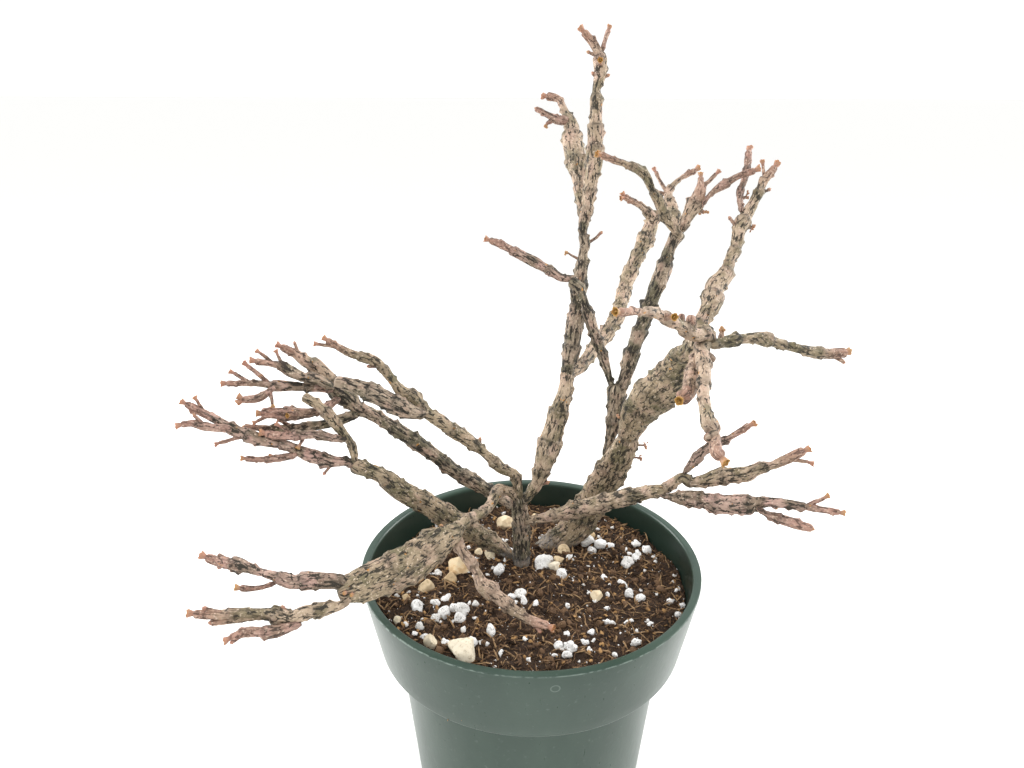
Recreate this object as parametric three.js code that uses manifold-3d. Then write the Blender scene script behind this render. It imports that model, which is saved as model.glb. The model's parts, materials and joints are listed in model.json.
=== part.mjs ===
// A potted euphorbia: a leafless, jointed succulent with flattened stems, in a plain round
// nursery pot filled with a gritty mix. Millimetres, +Z up. The origin is the centre of the
// pot's underside and the plant shows its best side towards -Y.

import * as THREE from 'three';
import { mergeVertices } from 'three/addons/utils/BufferGeometryUtils.js';
import Module from 'manifold-3d';

const wasm = await Module();
wasm.setup();

// ---- Driving dimensions: the pot ----
const POT_HEIGHT = 95;
const RIM_RADIUS = 51;
const LIP_WIDTH = 2.5; // flat top of the rolled lip
const LIP_DEPTH = 2.8;
const LIP_OVERHANG = 1.2; // how far the lip stands out past the collar
const COLLAR_DEPTH = 24; // from the lip's top down to the step
const COLLAR_TAPER = 3.4; // how much the collar narrows on its way down
const COLLAR_STEP = 5.3; // the ledge from the collar in to the body
const BODY_TAPER = 6.8; // how much the body narrows from the step to the base
const POT_WALL = 1.3;
const POT_FLOOR = 1.8;
const DRAIN_HOLES = 6;
const DRAIN_HOLE_RADIUS = 4;
const DRAIN_HOLE_MARGIN = 5; // plastic left between a hole and the pot's wall

// ---- Driving dimensions: the mix and the plant ----
const SOIL_DEPTH = 9; // from the lip's top down to the mix
const SOIL_RELIEF = 0.9; // height of its humps and hollows
const FOOT_DEPTH = 8; // how deep a stem's foot is set in the mix
const TWIG_WIDTH = 2; // up to this width a stem is round
const BLADE_WIDTH = 10; // at this width it is fully flattened
const FLATTENING = 0.5; // share of its width that a blade's thickness loses
const STONE_RISE = 0.35; // how far a stone's middle lies above the mix, as a share of its height
const GAP = 0.3; // clearance between any two neighbouring pieces

// ---- Mesh fineness ----
const POT_SEGMENTS = 48;
const HOLE_SEGMENTS = 16;
const STONE_DETAIL = 2;
const SOIL_SEGMENTS = 36;
const SOIL_RINGS = 6;
const STEM_SIDES = 8;
const RING_SPACING = 4.5;
const SLIVER = 0.003; // facets thinner than this, left by a cut, are closed up

const SOIL_LEVEL = POT_HEIGHT - SOIL_DEPTH;
const FOOT = -SOIL_DEPTH - FOOT_DEPTH; // a foot's height, measured from the rim
const ROUTE_RIM_RADIUS = 51; // the rim over which the stem routes below are laid out
const SPREAD = RIM_RADIUS / ROUTE_RIM_RADIUS;
const FRONT = new THREE.Vector3(0, -0.93, 0.36).normalize(); // way that the broad sides face

const LIP_INNER = RIM_RADIUS - LIP_WIDTH;
const COLLAR_TOP = RIM_RADIUS - LIP_OVERHANG;
const COLLAR_BOTTOM = COLLAR_TOP - COLLAR_TAPER;
const BODY_TOP = COLLAR_BOTTOM - COLLAR_STEP;
const BASE_RADIUS = BODY_TOP - BODY_TAPER;
const STEP_HEIGHT = POT_HEIGHT - COLLAR_DEPTH;

// ---- Stems ----
// Each route runs from a stem's foot or parent to its tip: x and y from the pot's axis,
// z from the rim, and the stem's width there. The first stem listed keeps its full shape, and
// each later one stops a gap short of any that it grows from or leans against.
const STEMS = [
  // The middle trunk and the tall leader that stands on it.
  { name: 'trunk', grows: null, route: [
    [-3, 12, FOOT, 6], [-3, 10, -8, 6], [-3, 10, 1, 5], [-4, 11, 14, 5.5]] },
  { name: 'leader_lower', grows: 'trunk', route: [
    [-2, 11, 14, 3.5], [1, 12, 18, 4], [2, 12, 20, 3.5], [3, 12, 24, 5.5], [5, 13, 31, 7],
    [8, 15, 42, 6], [10, 16, 50, 4.5], [10, 17, 54, 3.5]] },
  { name: 'leader_middle', grows: 'leader_lower', route: [
    [10, 17, 54, 3.5], [11, 18, 58, 5], [12, 19, 68, 5.5], [13, 20, 73, 4.5], [13, 21, 78, 5],
    [14, 23, 86, 4], [14, 24, 89, 2.5], [15, 25, 91, 3], [14, 25, 94, 2.5], [14, 26, 97, 3.5],
    [15, 26, 101, 4]] },
  { name: 'leader_upper', grows: 'leader_middle', route: [
    [15, 26, 101, 3.5], [16, 28, 109, 4], [17, 30, 114, 4.5], [17, 32, 120, 5], [17, 33, 125, 4],
    [17, 34, 130, 3.5], [17, 36, 134, 2.5], [18, 37, 137, 3.5], [18, 38, 142, 3.5],
    [16, 39, 146, 2.5], [12, 40, 150, 2]] },
  { name: 'leader_tip', grows: 'leader_upper', route: [
    [18, 39, 143, 1.5], [19, 39, 146, 1.5], [20, 41, 149, 1.5], [21, 41, 151, 2]] },
  { name: 'leader_blade', grows: 'leader_middle', route: [
    [14, 27, 100, 3], [13, 34, 108, 4], [12, 41, 114, 6.5], [11, 48, 120, 6], [11, 51, 123, 4.5],
    [9, 55, 127, 2.5], [7, 59, 131, 2], [2, 61, 132, 3]] },
  { name: 'blade_twig', grows: 'leader_blade', route: [
    [9, 52, 125, 2], [6, 52, 125, 3.5], [4, 53, 126, 2], [0, 53, 128, 1.5]] },
  { name: 'back_stem', grows: 'leader_middle', route: [
    [12, 19, 53, 2.5], [15, 25, 54, 4], [21, 37, 57, 4.5], [27, 47, 62, 5], [29, 52, 65, 4.5],
    [32, 62, 72, 5], [36, 69, 79, 5], [40, 76, 85, 6], [42, 80, 91, 4.5], [38, 79, 95, 2.5],
    [30, 78, 99, 2]] },

  // The second trunk, which leans right, and the broad stem that comes forward from it.
  { name: 'second_trunk', grows: null, route: [
    [0, 22, FOOT, 8], [7, 21, -9, 8.5], [15, 19, 0, 10], [21, 18, 13, 10], [26, 15, 25, 9.5],
    [29, 11, 35, 6.5]] },
  { name: 'broad_stem', grows: 'second_trunk', route: [
    [29, 11, 36, 6], [30, 7, 44, 9], [33, 0, 53, 11.5], [37, -8, 62, 11], [39, -16, 71, 9],
    [39, -23, 76, 5.5], [40, -28, 81, 4.5]] },
  { name: 'fork_stem', grows: 'second_trunk', route: [
    [23, 16, 29, 2.5], [24, 16, 33, 3], [25, 15, 42, 5], [25, 15, 50, 6]] },
  { name: 'fork_left_lower', grows: 'fork_stem', route: [
    [23, 15, 52, 2], [22, 15, 56, 2.5], [19, 16, 64, 3.5], [16, 16, 72, 3.5], [14, 15, 78, 2.5],
    [13, 15, 81, 3], [11, 16, 82, 3.5]] },
  { name: 'fork_left_upper', grows: 'fork_left_lower', route: [
    [10, 17, 83, 3], [8, 16, 83, 2.5], [5, 16, 85, 2.5], [0, 15, 88, 3.5], [-4, 15, 90, 2.5],
    [-9, 14, 93, 2.5], [-14, 13, 95, 1.5]] },
  { name: 'fork_right', grows: 'fork_stem', route: [
    [27, 15, 52, 4], [29, 16, 61, 4.5], [32, 17, 70, 4.5], [35, 19, 79, 4.5], [37, 20, 84, 4.5],
    [39, 21, 92, 3.5], [41, 22, 95, 4]] },
  { name: 'fork_near_arm', grows: 'fork_right', route: [
    [40, 20, 96, 2.5], [36, 19, 101, 3], [34, 18, 105, 3], [32, 17, 108, 2], [30, 17, 112, 3],
    [27, 15, 114, 2.5], [21, 13, 116, 2], [16, 11, 118, 2]] },
  { name: 'fork_far_arm', grows: 'fork_right', route: [
    [41, 24, 96, 2.5], [41, 32, 100, 3.5], [40, 36, 103, 3], [40, 39, 105, 2.5],
    [43, 41, 108, 1.5], [50, 45, 111, 2]] },
  { name: 'fork_wedge', grows: 'fork_right', route: [
    [42, 23, 96, 2.5], [43, 23, 99, 3.5], [46, 25, 104, 4.5], [47, 25, 107, 3.5],
    [47, 26, 109, 1.5], [47, 27, 112, 2]] },
  { name: 'wedge_branch', grows: 'fork_wedge', route: [
    [48, 24, 104, 2], [51, 25, 107, 2], [54, 25, 109, 2.5], [57, 25, 111, 2], [63, 25, 113, 2]] },
  { name: 'high_stem', grows: 'broad_stem', route: [
    [39, -16, 72, 5], [43, -9, 78, 4], [46, -5, 81, 5], [48, 1, 85, 5.5], [51, 4, 87, 4],
    [53, 8, 91, 3], [55, 11, 93, 3.5], [56, 14, 97, 3.5], [59, 19, 101, 4], [61, 21, 104, 2.5],
    [63, 23, 107, 2.5], [64, 25, 109, 2.5], [69, 29, 114, 2]] },
  { name: 'high_twig', grows: 'high_stem', route: [
    [58, 19, 102, 2], [58, 25, 106, 2], [60, 29, 110, 2], [61, 31, 113, 2.5], [62, 36, 118, 2]] },
  { name: 'near_arm_left', grows: 'broad_stem', route: [
    [37, -31, 81, 3.5], [33, -34, 84, 3], [26, -41, 89, 2.5], [21, -47, 91, 1.5],
    [16, -52, 92, 2]] },
  { name: 'near_stub', grows: 'broad_stem', route: [
    [38, -31, 75, 3.5], [35, -40, 73, 4.5], [34, -44, 72, 3], [31, -48, 72, 3.5]] },
  { name: 'near_drop', grows: 'broad_stem', route: [
    [39, -30, 77, 4], [38, -39, 76, 3], [37, -44, 74, 3], [36, -49, 73, 3], [36, -53, 71, 2.5],
    [36, -55, 70, 3.5], [37, -58, 69, 2], [36, -63, 67, 3], [38, -65, 66, 1.5]] },
  { name: 'near_arm_right', grows: 'broad_stem', route: [
    [42, -28, 78, 2.5], [45, -26, 78, 3], [53, -22, 78, 2.5], [56, -20, 77, 3.5],
    [61, -18, 75, 2.5], [67, -16, 73, 2.5], [75, -13, 71, 3], [81, -11, 71, 2.5]] },

  // The long branch that reaches right, in front of the second trunk.
  { name: 'right_branch', grows: 'trunk', route: [
    [0, 9, 8, 3], [4, 7, 10, 3], [9, 6, 12, 4.5], [14, 4, 15, 5.5], [24, -1, 21, 5],
    [31, -4, 25, 4.5], [37, -7, 28, 3.5]] },
  { name: 'right_upper', grows: 'right_branch', route: [
    [38, -7, 29, 3.5], [42, -8, 33, 3], [44, -10, 32, 3], [47, -11, 33, 4], [52, -13, 36, 4.5],
    [57, -16, 38, 4.5], [59, -17, 40, 3], [63, -18, 42, 2.5], [66, -19, 44, 3],
    [71, -20, 48, 2]] },
  { name: 'right_upper_twig', grows: 'right_upper', route: [
    [43, -8, 35, 2], [45, -8, 38, 3], [47, -8, 41, 3], [53, -9, 45, 2], [59, -11, 51, 2]] },
  { name: 'right_lower', grows: 'right_branch', route: [
    [38, -9, 27, 2], [41, -11, 28, 4], [46, -14, 29, 4.5], [50, -18, 30, 5.5], [53, -20, 31, 5.5],
    [57, -23, 33, 4.5], [61, -25, 35, 2.5], [68, -29, 36, 2], [77, -34, 37, 1.5]] },
  { name: 'right_lower_tip', grows: 'right_lower', route: [
    [60, -26, 32, 2], [64, -27, 31, 3], [67, -29, 31, 3], [70, -31, 31, 2]] },

  // The tangle on the left: a high branch, a middle one and a thick low one.
  { name: 'left_high', grows: 'trunk', route: [
    [-4, 10, 18, 2.5], [-5, 11, 23, 3.5], [-9, 10, 25, 3], [-12, 10, 28, 3.5], [-15, 10, 31, 2.5],
    [-19, 9, 35, 4.5], [-24, 8, 39, 4], [-27, 7, 42, 4.5], [-31, 6, 45, 3], [-35, 6, 50, 5],
    [-38, 5, 52, 4], [-40, 5, 55, 2.5], [-43, 6, 59, 2.5], [-45, 6, 61, 3], [-52, 4, 64, 2.5],
    [-59, 3, 69, 1.5]] },
  { name: 'left_high_wedge', grows: 'left_high', route: [
    [-33, 4, 46, 2.5], [-35, 2, 47, 4.5], [-38, 1, 49, 5.5], [-42, 0, 52, 5.5], [-47, -1, 55, 5],
    [-54, -3, 58, 3]] },
  { name: 'left_middle', grows: 'trunk', route: [
    [-10, 19, 10, 4], [-13, 19, 12, 4], [-18, 18, 16, 5], [-24, 17, 20, 4.5], [-30, 16, 26, 4.5],
    [-41, 15, 35, 4.5], [-51, 14, 42, 3.5], [-53, 13, 43, 4], [-55, 13, 46, 6], [-58, 13, 48, 7],
    [-60, 13, 51, 5]] },
  { name: 'left_low', grows: null, route: [
    [-4, 17, FOOT, 3.5], [-7, 14, -8, 4], [-11, 13, -4, 5], [-16, 12, 0, 6.5], [-25, 8, 8, 8],
    [-30, 7, 13, 7], [-39, 4, 20, 6.5], [-45, 3, 26, 4.5], [-52, 1, 30, 4.5]] },
  { name: 'left_low_rise', grows: 'left_low', route: [
    [-52, 1, 32, 2.5], [-53, 2, 37, 2.5], [-55, 2, 40, 3], [-59, 2, 46, 3.5], [-62, 2, 49, 3],
    [-65, 2, 51, 3]] },
  { name: 'left_low_side', grows: 'left_low_rise', route: [
    [-56, 0, 39, 2.5], [-60, -2, 41, 2.5], [-62, -3, 42, 3], [-68, -5, 42, 2.5],
    [-76, -7, 44, 2]] },
  { name: 'left_end', grows: 'left_low', route: [
    [-55, 0, 32, 3], [-59, -2, 33, 3.5], [-62, -2, 34, 4.5], [-66, -3, 36, 6], [-69, -5, 39, 2.5],
    [-75, -6, 41, 3.5], [-83, -8, 45, 3.5], [-87, -8, 48, 2.5], [-91, -9, 51, 2.5],
    [-96, -9, 54, 1.5]] },
  { name: 'left_end_side', grows: 'left_end', route: [
    [-84, -9, 46, 2.5], [-86, -11, 47, 2.5], [-90, -12, 48, 3], [-92, -12, 49, 2],
    [-96, -14, 49, 2]] },
  { name: 'left_end_low', grows: 'left_end', route: [
    [-69, -6, 36, 2.5], [-75, -8, 36, 2], [-81, -11, 38, 1.5]] },
  { name: 'middle_back', grows: 'left_middle', route: [
    [-54, 12, 42, 3.5], [-57, 10, 41, 3.5], [-62, 8, 40, 3], [-69, 6, 40, 2.5], [-75, 4, 40, 2.5],
    [-83, 1, 42, 2]] },
  { name: 'middle_low', grows: 'left_middle', route: [
    [-60, 9, 46, 2.5], [-63, 6, 45, 2.5], [-68, 4, 45, 3.5], [-73, 2, 46, 4], [-79, 0, 47, 2.5]] },
  { name: 'middle_mid', grows: 'left_middle', route: [
    [-61, 11, 50, 3], [-64, 10, 51, 2.5], [-69, 8, 52, 3], [-74, 6, 53, 3.5], [-79, 5, 54, 2],
    [-89, 2, 55, 2]] },
  { name: 'middle_mid_tip', grows: 'middle_mid', route: [
    [-75, 3, 53, 2], [-78, 1, 51, 3], [-84, -1, 51, 1.5]] },
  { name: 'middle_high', grows: 'left_middle', route: [
    [-61, 13, 54, 3.5], [-64, 14, 56, 4], [-68, 14, 58, 4], [-71, 15, 60, 3], [-76, 14, 63, 2]] },
  { name: 'middle_high_tip', grows: 'left_middle', route: [
    [-61, 9, 52, 2.5], [-63, 9, 54, 3.5], [-67, 8, 55, 3], [-70, 7, 57, 3.5], [-73, 7, 59, 2.5],
    [-81, 5, 61, 2]] },

  // The branch that comes forward on the left and crosses the rim.
  { name: 'front_branch', grows: 'trunk', route: [
    [-7, 9, 18, 3], [-10, 7, 20, 3.5], [-11, 3, 19, 3.5], [-13, -2, 18, 3], [-17, -9, 19, 3.5],
    [-20, -15, 20, 4], [-21, -19, 20, 4.5]] },
  { name: 'front_broad', grows: 'front_branch', route: [
    [-22, -22, 21, 6], [-25, -26, 21, 9], [-31, -32, 19, 10], [-37, -36, 18, 10],
    [-43, -41, 18, 8.5], [-46, -43, 18, 5.5]] },
  { name: 'front_upper', grows: 'front_broad', route: [
    [-47, -42, 20, 3], [-49, -43, 21, 4.5], [-54, -43, 21, 4], [-58, -44, 21, 4],
    [-63, -44, 23, 2.5], [-66, -43, 23, 2], [-70, -42, 24, 3], [-74, -41, 24, 3.5],
    [-78, -40, 24, 3], [-82, -39, 25, 1.5]] },
  { name: 'front_upper_twig', grows: 'front_upper', route: [
    [-62, -44, 22, 2], [-64, -46, 21, 1.5], [-67, -47, 21, 1.5], [-71, -48, 22, 2]] },
  { name: 'front_lower', grows: 'front_broad', route: [
    [-46, -46, 16, 3], [-51, -48, 16, 3.5], [-54, -49, 16, 4], [-57, -50, 15, 3.5],
    [-61, -50, 16, 4], [-66, -51, 17, 2.5], [-69, -52, 18, 2], [-73, -53, 18, 2.5],
    [-80, -54, 19, 2]] },
  { name: 'front_lower_under', grows: 'front_lower', route: [
    [-54, -49, 15, 2.5], [-58, -52, 14, 3], [-61, -54, 14, 3], [-66, -55, 15, 2.5],
    [-71, -57, 14, 1.5]] },
  { name: 'front_drop', grows: 'front_branch', route: [
    [-20, -20, 19, 2.5], [-19, -22, 17, 3.5], [-16, -25, 15, 3], [-14, -27, 13, 2.5],
    [-13, -29, 11, 4], [-11, -30, 10, 5], [-8, -32, 9, 3.5], [-4, -35, 7, 3.5], [0, -37, 6, 2.5],
    [6, -40, 6, 2]] },
];

// ---- Loose stones on the mix: place from the pot's axis, size and colour ----
const STONES = [
  { name: 'stone_tan', at: [-23, 7], size: [3.6, 2.9, 2.4], turn: 1.3, color: 0xc98a4f },
  { name: 'stone_cream', at: [4, 10], size: [3.0, 2.6, 2.0], turn: 0.5, color: 0xd9cbb0 },
  { name: 'stone_grey', at: [-32, -3], size: [2.5, 2.1, 1.7], turn: 0.2, color: 0xb9a98e },
  { name: 'stone_back', at: [-9, 34], size: [3.3, 2.6, 2.2], turn: 0.3, color: 0xd9bd92 },
  { name: 'stone_front', at: [-18, -32], size: [3.8, 2.9, 2.4], turn: 0.2, color: 0xe2d8c0 },
  { name: 'perlite_left', at: [-33, -13], size: [2.4, 2.3, 2.0], turn: 0, color: 0xf0efe8 },
];

// ---- Solids ----

// Turns rings of equal vertex count, each [x, y, z], into one closed, outward-facing solid.
function solidFromRings(rings, startPoint, endPoint) {
  const sides = rings[0].length;
  const points = [startPoint, ...rings.flat(), endPoint];
  const last = points.length - 1;
  const triangles = [];
  const at = (ring, side) => 1 + ring * sides + (side % sides);
  for (let side = 0; side < sides; side += 1) {
    triangles.push(0, at(0, side + 1), at(0, side));
    for (let ring = 0; ring < rings.length - 1; ring += 1) {
      triangles.push(at(ring, side), at(ring, side + 1), at(ring + 1, side + 1));
      triangles.push(at(ring, side), at(ring + 1, side + 1), at(ring + 1, side));
    }
    triangles.push(at(rings.length - 1, side), at(rings.length - 1, side + 1), last);
  }
  return new wasm.Manifold(new wasm.Mesh({
    numProp: 3,
    vertProperties: Float32Array.from(points.flat()),
    triVerts: Uint32Array.from(triangles),
  }));
}

// Turns a closed three.js geometry into a solid.
function solidFromGeometry(geometry) {
  geometry.deleteAttribute('normal');
  geometry.deleteAttribute('uv');
  const merged = mergeVertices(geometry, 1e-3);
  return new wasm.Manifold(new wasm.Mesh({
    numProp: 3,
    vertProperties: Float32Array.from(merged.attributes.position.array),
    triVerts: Uint32Array.from(merged.index.array),
  }));
}

// A body of revolution from a closed profile of [radius, z] points.
function turned(profile) {
  const outline = profile.map(([radius, z]) => new THREE.Vector2(radius, z));
  return solidFromGeometry(new THREE.LatheGeometry(outline, POT_SEGMENTS).rotateX(Math.PI / 2));
}

// ---- The pot ----

function collarInner(z) {
  const down = (POT_HEIGHT - z) / COLLAR_DEPTH;
  return LIP_INNER - down * (LIP_INNER - COLLAR_BOTTOM + POT_WALL);
}

function makePot() {
  const profile = [
    [0, 0], [BASE_RADIUS, 0], [BODY_TOP, STEP_HEIGHT],
    [COLLAR_BOTTOM, STEP_HEIGHT], [COLLAR_TOP, POT_HEIGHT - LIP_DEPTH],
    [RIM_RADIUS, POT_HEIGHT - LIP_DEPTH], [RIM_RADIUS, POT_HEIGHT], [LIP_INNER, POT_HEIGHT],
    [COLLAR_BOTTOM - POT_WALL, STEP_HEIGHT + POT_WALL],
    [BODY_TOP - POT_WALL, STEP_HEIGHT + POT_WALL], [BASE_RADIUS - POT_WALL, POT_FLOOR],
    [0, POT_FLOOR],
  ];
  const holeCircle = BASE_RADIUS - POT_WALL - DRAIN_HOLE_MARGIN - DRAIN_HOLE_RADIUS;
  let pot = turned(profile);
  for (let index = 0; index < DRAIN_HOLES; index += 1) {
    const angle = (index / DRAIN_HOLES) * 2 * Math.PI;
    const hole = new THREE.CylinderGeometry(
      DRAIN_HOLE_RADIUS, DRAIN_HOLE_RADIUS, POT_FLOOR * 3, HOLE_SEGMENTS);
    hole.rotateX(Math.PI / 2);
    hole.translate(holeCircle * Math.cos(angle), holeCircle * Math.sin(angle), 0);
    pot = pot.subtract(solidFromGeometry(hole));
  }
  return pot;
}

// ---- The mix ----

function soilHeight(x, y) {
  const broad = Math.sin(x * 0.11 + 1.3) * Math.cos(y * 0.13 - 0.4);
  const fine = Math.sin(x * 0.31 + y * 0.17) * Math.cos(y * 0.29 - x * 0.08);
  return SOIL_LEVEL + SOIL_RELIEF * (0.6 * broad + 0.4 * fine);
}

function circle(radius, height) {
  const ring = [];
  for (let side = 0; side < SOIL_SEGMENTS; side += 1) {
    const angle = (side / SOIL_SEGMENTS) * 2 * Math.PI;
    const x = radius * Math.cos(angle);
    const y = radius * Math.sin(angle);
    ring.push([x, y, typeof height === 'function' ? height(x, y) : height]);
  }
  return ring;
}

function makeSoil() {
  const lowestEdge = SOIL_LEVEL - SOIL_RELIEF;
  // A ring of flat sides lies inside its circle, so the pot's own flats need a little more room.
  const flats = RIM_RADIUS * (1 - Math.cos(Math.PI / POT_SEGMENTS));
  const clear = GAP + flats;
  const rings = [
    circle(BASE_RADIUS - POT_WALL - clear, POT_FLOOR + GAP),
    circle(BODY_TOP - POT_WALL - clear, STEP_HEIGHT + POT_WALL + GAP),
    circle(COLLAR_BOTTOM - POT_WALL - clear, STEP_HEIGHT + POT_WALL + GAP),
  ];
  const edge = collarInner(lowestEdge) - clear;
  for (let ring = SOIL_RINGS; ring > 0; ring -= 1) {
    rings.push(circle((edge * ring) / SOIL_RINGS, soilHeight));
  }
  return solidFromRings(rings, [0, 0, POT_FLOOR + GAP], [0, 0, soilHeight(0, 0)]);
}

// ---- Stems ----

function routePoint([x, y, z]) {
  return new THREE.Vector3(x * SPREAD, y * SPREAD, POT_HEIGHT + z);
}

function stemThickness(width) {
  const blade = THREE.MathUtils.clamp((width - TWIG_WIDTH) / (BLADE_WIDTH - TWIG_WIDTH), 0, 1);
  return width * (1 - FLATTENING * blade);
}

function stemCurve(points) {
  return new THREE.CatmullRomCurve3(points, false, 'centripetal');
}

// One oval ring of a stem, square to its run, with its broad side to the front.
function stemRing(centre, along, width, grow) {
  const across = new THREE.Vector3().crossVectors(along, FRONT).normalize();
  const through = new THREE.Vector3().crossVectors(along, across).normalize();
  const ring = [];
  for (let side = 0; side < STEM_SIDES; side += 1) {
    const angle = (side / STEM_SIDES) * 2 * Math.PI;
    const point = centre.clone();
    point.addScaledVector(across, Math.cos(angle) * (width / 2 + grow));
    point.addScaledVector(through, Math.sin(angle) * (stemThickness(width) / 2 + grow));
    ring.push(point.toArray());
  }
  return ring;
}

// A stem's solid. With grow it is that much fatter all over, to cut room in a neighbour.
function stemSolid(points, widths, grow) {
  const curve = stemCurve(points);
  const spans = points.length - 1;
  const rings = [];
  for (let span = 0; span < spans; span += 1) {
    const length = points[span].distanceTo(points[span + 1]);
    const steps = Math.max(1, Math.round(length / RING_SPACING));
    const isLast = span === spans - 1;
    for (let step = 0; step < steps + (isLast ? 1 : 0); step += 1) {
      const share = step / steps;
      const where = (span + share) / spans;
      const width = THREE.MathUtils.lerp(widths[span], widths[span + 1], share);
      rings.push(stemRing(curve.getPoint(where), curve.getTangent(where), width, grow));
    }
  }
  const start = curve.getPoint(0).addScaledVector(curve.getTangent(0), -grow);
  const tipBulge = widths[spans] / 4 + grow;
  const end = curve.getPoint(1).addScaledVector(curve.getTangent(1), tipBulge);
  return solidFromRings(rings, start.toArray(), end.toArray());
}

// The point on a parent's middle line that lies nearest to where its child starts.
function rootPoint(parent, start) {
  const samples = stemCurve(parent.points).getPoints(parent.points.length * 8);
  return samples.reduce((best, sample) => (
    sample.distanceTo(start) < best.distanceTo(start) ? sample : best));
}

function largestPiece(solid) {
  const pieces = solid.decompose();
  return pieces.reduce((best, piece) => (piece.volume() > best.volume() ? piece : best));
}

function boxesMeet(one, other) {
  return one.min.every((low, axis) => low <= other.max[axis] && one.max[axis] >= other.min[axis]);
}

function makeStems() {
  const grown = [];
  for (const { name, grows, route } of STEMS) {
    const points = route.map(routePoint);
    const widths = route.map((stop) => stop[3]);
    const parent = grown.find((stem) => stem.name === grows);
    if (parent) {
      points.unshift(rootPoint(parent, points[0]));
      widths.unshift(widths[0]);
    }
    let solid = stemSolid(points, widths, 0);
    for (const other of grown) {
      if (boxesMeet(solid.boundingBox(), other.room.boundingBox())) {
        solid = solid.subtract(other.room);
      }
    }
    grown.push({ name, points, solid: largestPiece(solid), room: stemSolid(points, widths, GAP) });
  }
  return grown;
}

// ---- Stones ----

// A rounded, slightly knobbly pebble, sunk about a third of its height into the mix.
function makeStone({ at, size, turn }, grow) {
  const ball = new THREE.IcosahedronGeometry(1, STONE_DETAIL);
  const corners = ball.attributes.position;
  for (let index = 0; index < corners.count; index += 1) {
    const [a, b, c] = [corners.getX(index), corners.getY(index), corners.getZ(index)];
    const knob = 1 + 0.12 * Math.sin(5 * a + turn) * Math.cos(4 * b - 3 * c + turn);
    corners.setXYZ(index, ...[a, b, c].map((value, axis) => value * knob * (size[axis] + grow)));
  }
  ball.rotateZ(turn);
  ball.translate(at[0] * SPREAD, at[1] * SPREAD, SOIL_LEVEL + size[2] * STONE_RISE);
  return solidFromGeometry(ball);
}

// ---- Assembly ----

function meshOf(name, solid, finish) {
  const { vertProperties, triVerts } = solid.simplify(SLIVER).getMesh();
  const geometry = new THREE.BufferGeometry();
  geometry.setAttribute('position', new THREE.BufferAttribute(vertProperties, 3));
  geometry.setIndex(new THREE.BufferAttribute(triVerts, 1));
  const faceted = geometry.toNonIndexed();
  faceted.computeVertexNormals();
  const mesh = new THREE.Mesh(faceted, new THREE.MeshStandardMaterial(finish));
  mesh.name = name;
  return mesh;
}

const plant = new THREE.Group();
const stems = makeStems();
let soil = makeSoil();

for (const stem of stems) {
  if (boxesMeet(soil.boundingBox(), stem.room.boundingBox())) {
    soil = soil.subtract(stem.room);
  }
}
for (const stone of STONES) {
  soil = soil.subtract(makeStone(stone, GAP));
}

plant.add(meshOf('pot', makePot(), { color: 0x4f6157, roughness: 0.42, metalness: 0 }));
plant.add(meshOf('soil', soil, { color: 0x3a2a20, roughness: 0.95, metalness: 0 }));
for (const stem of stems) {
  plant.add(meshOf(stem.name, stem.solid, { color: 0xa98f78, roughness: 0.7, metalness: 0 }));
}
for (const stone of STONES) {
  const finish = { color: stone.color, roughness: 0.9, metalness: 0 };
  plant.add(meshOf(stone.name, makeStone(stone, 0), finish));
}

export default plant;
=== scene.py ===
"""A potted euphorbia: jointed, flattened, mottled stems in gritty mix in a green nursery pot.

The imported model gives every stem's middle line, width and depth, the pot's outline and the
height of the mix. This script grows bark, scars, flower cups, grit and moulded plastic on
them. Lengths are in millimetres, and become metres where a mesh is made.
"""

import json
import logging
import math
import zlib
from dataclasses import dataclass, field
from enum import Enum
from typing import ClassVar

import bmesh
import bpy
import numpy as np
from mathutils import Euler, Matrix, Vector
from mathutils.bvhtree import BVHTree

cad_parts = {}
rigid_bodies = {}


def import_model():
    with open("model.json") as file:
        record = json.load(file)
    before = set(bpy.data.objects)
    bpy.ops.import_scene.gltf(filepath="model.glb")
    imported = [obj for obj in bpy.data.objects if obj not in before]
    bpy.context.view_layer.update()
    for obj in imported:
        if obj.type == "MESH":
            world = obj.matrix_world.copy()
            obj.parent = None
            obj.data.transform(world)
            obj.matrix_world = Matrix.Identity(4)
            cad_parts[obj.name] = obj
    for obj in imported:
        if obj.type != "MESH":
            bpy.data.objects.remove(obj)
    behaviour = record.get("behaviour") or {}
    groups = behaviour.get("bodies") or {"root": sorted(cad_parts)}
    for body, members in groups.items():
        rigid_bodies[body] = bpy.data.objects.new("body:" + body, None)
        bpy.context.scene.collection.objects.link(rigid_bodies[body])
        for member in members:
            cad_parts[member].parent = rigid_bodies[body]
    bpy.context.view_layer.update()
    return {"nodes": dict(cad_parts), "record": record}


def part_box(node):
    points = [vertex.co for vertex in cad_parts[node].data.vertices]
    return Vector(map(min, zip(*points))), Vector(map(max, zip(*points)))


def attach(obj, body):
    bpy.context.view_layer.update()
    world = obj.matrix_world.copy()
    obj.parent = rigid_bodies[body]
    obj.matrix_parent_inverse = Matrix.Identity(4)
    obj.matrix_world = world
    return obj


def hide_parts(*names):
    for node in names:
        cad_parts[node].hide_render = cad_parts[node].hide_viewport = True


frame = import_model()

MM = 0.001
BODY = "root"
FRONT = np.array([0.0, -0.93, 0.36]) / math.hypot(0.93, 0.36)  # way the broad sides face
FULL_TURN = 2 * math.pi
Array = np.ndarray
Random = np.random.Generator
Triple = tuple[float, float, float]
Stops = tuple[tuple[float, str], ...]
Material, Node, Socket = bpy.types.Material, bpy.types.Node, bpy.types.NodeSocket
Object, Tree = bpy.types.Object, bpy.types.NodeTree
log = logging.getLogger("potted_euphorbia")


# ---------------- colour and node helpers


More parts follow.
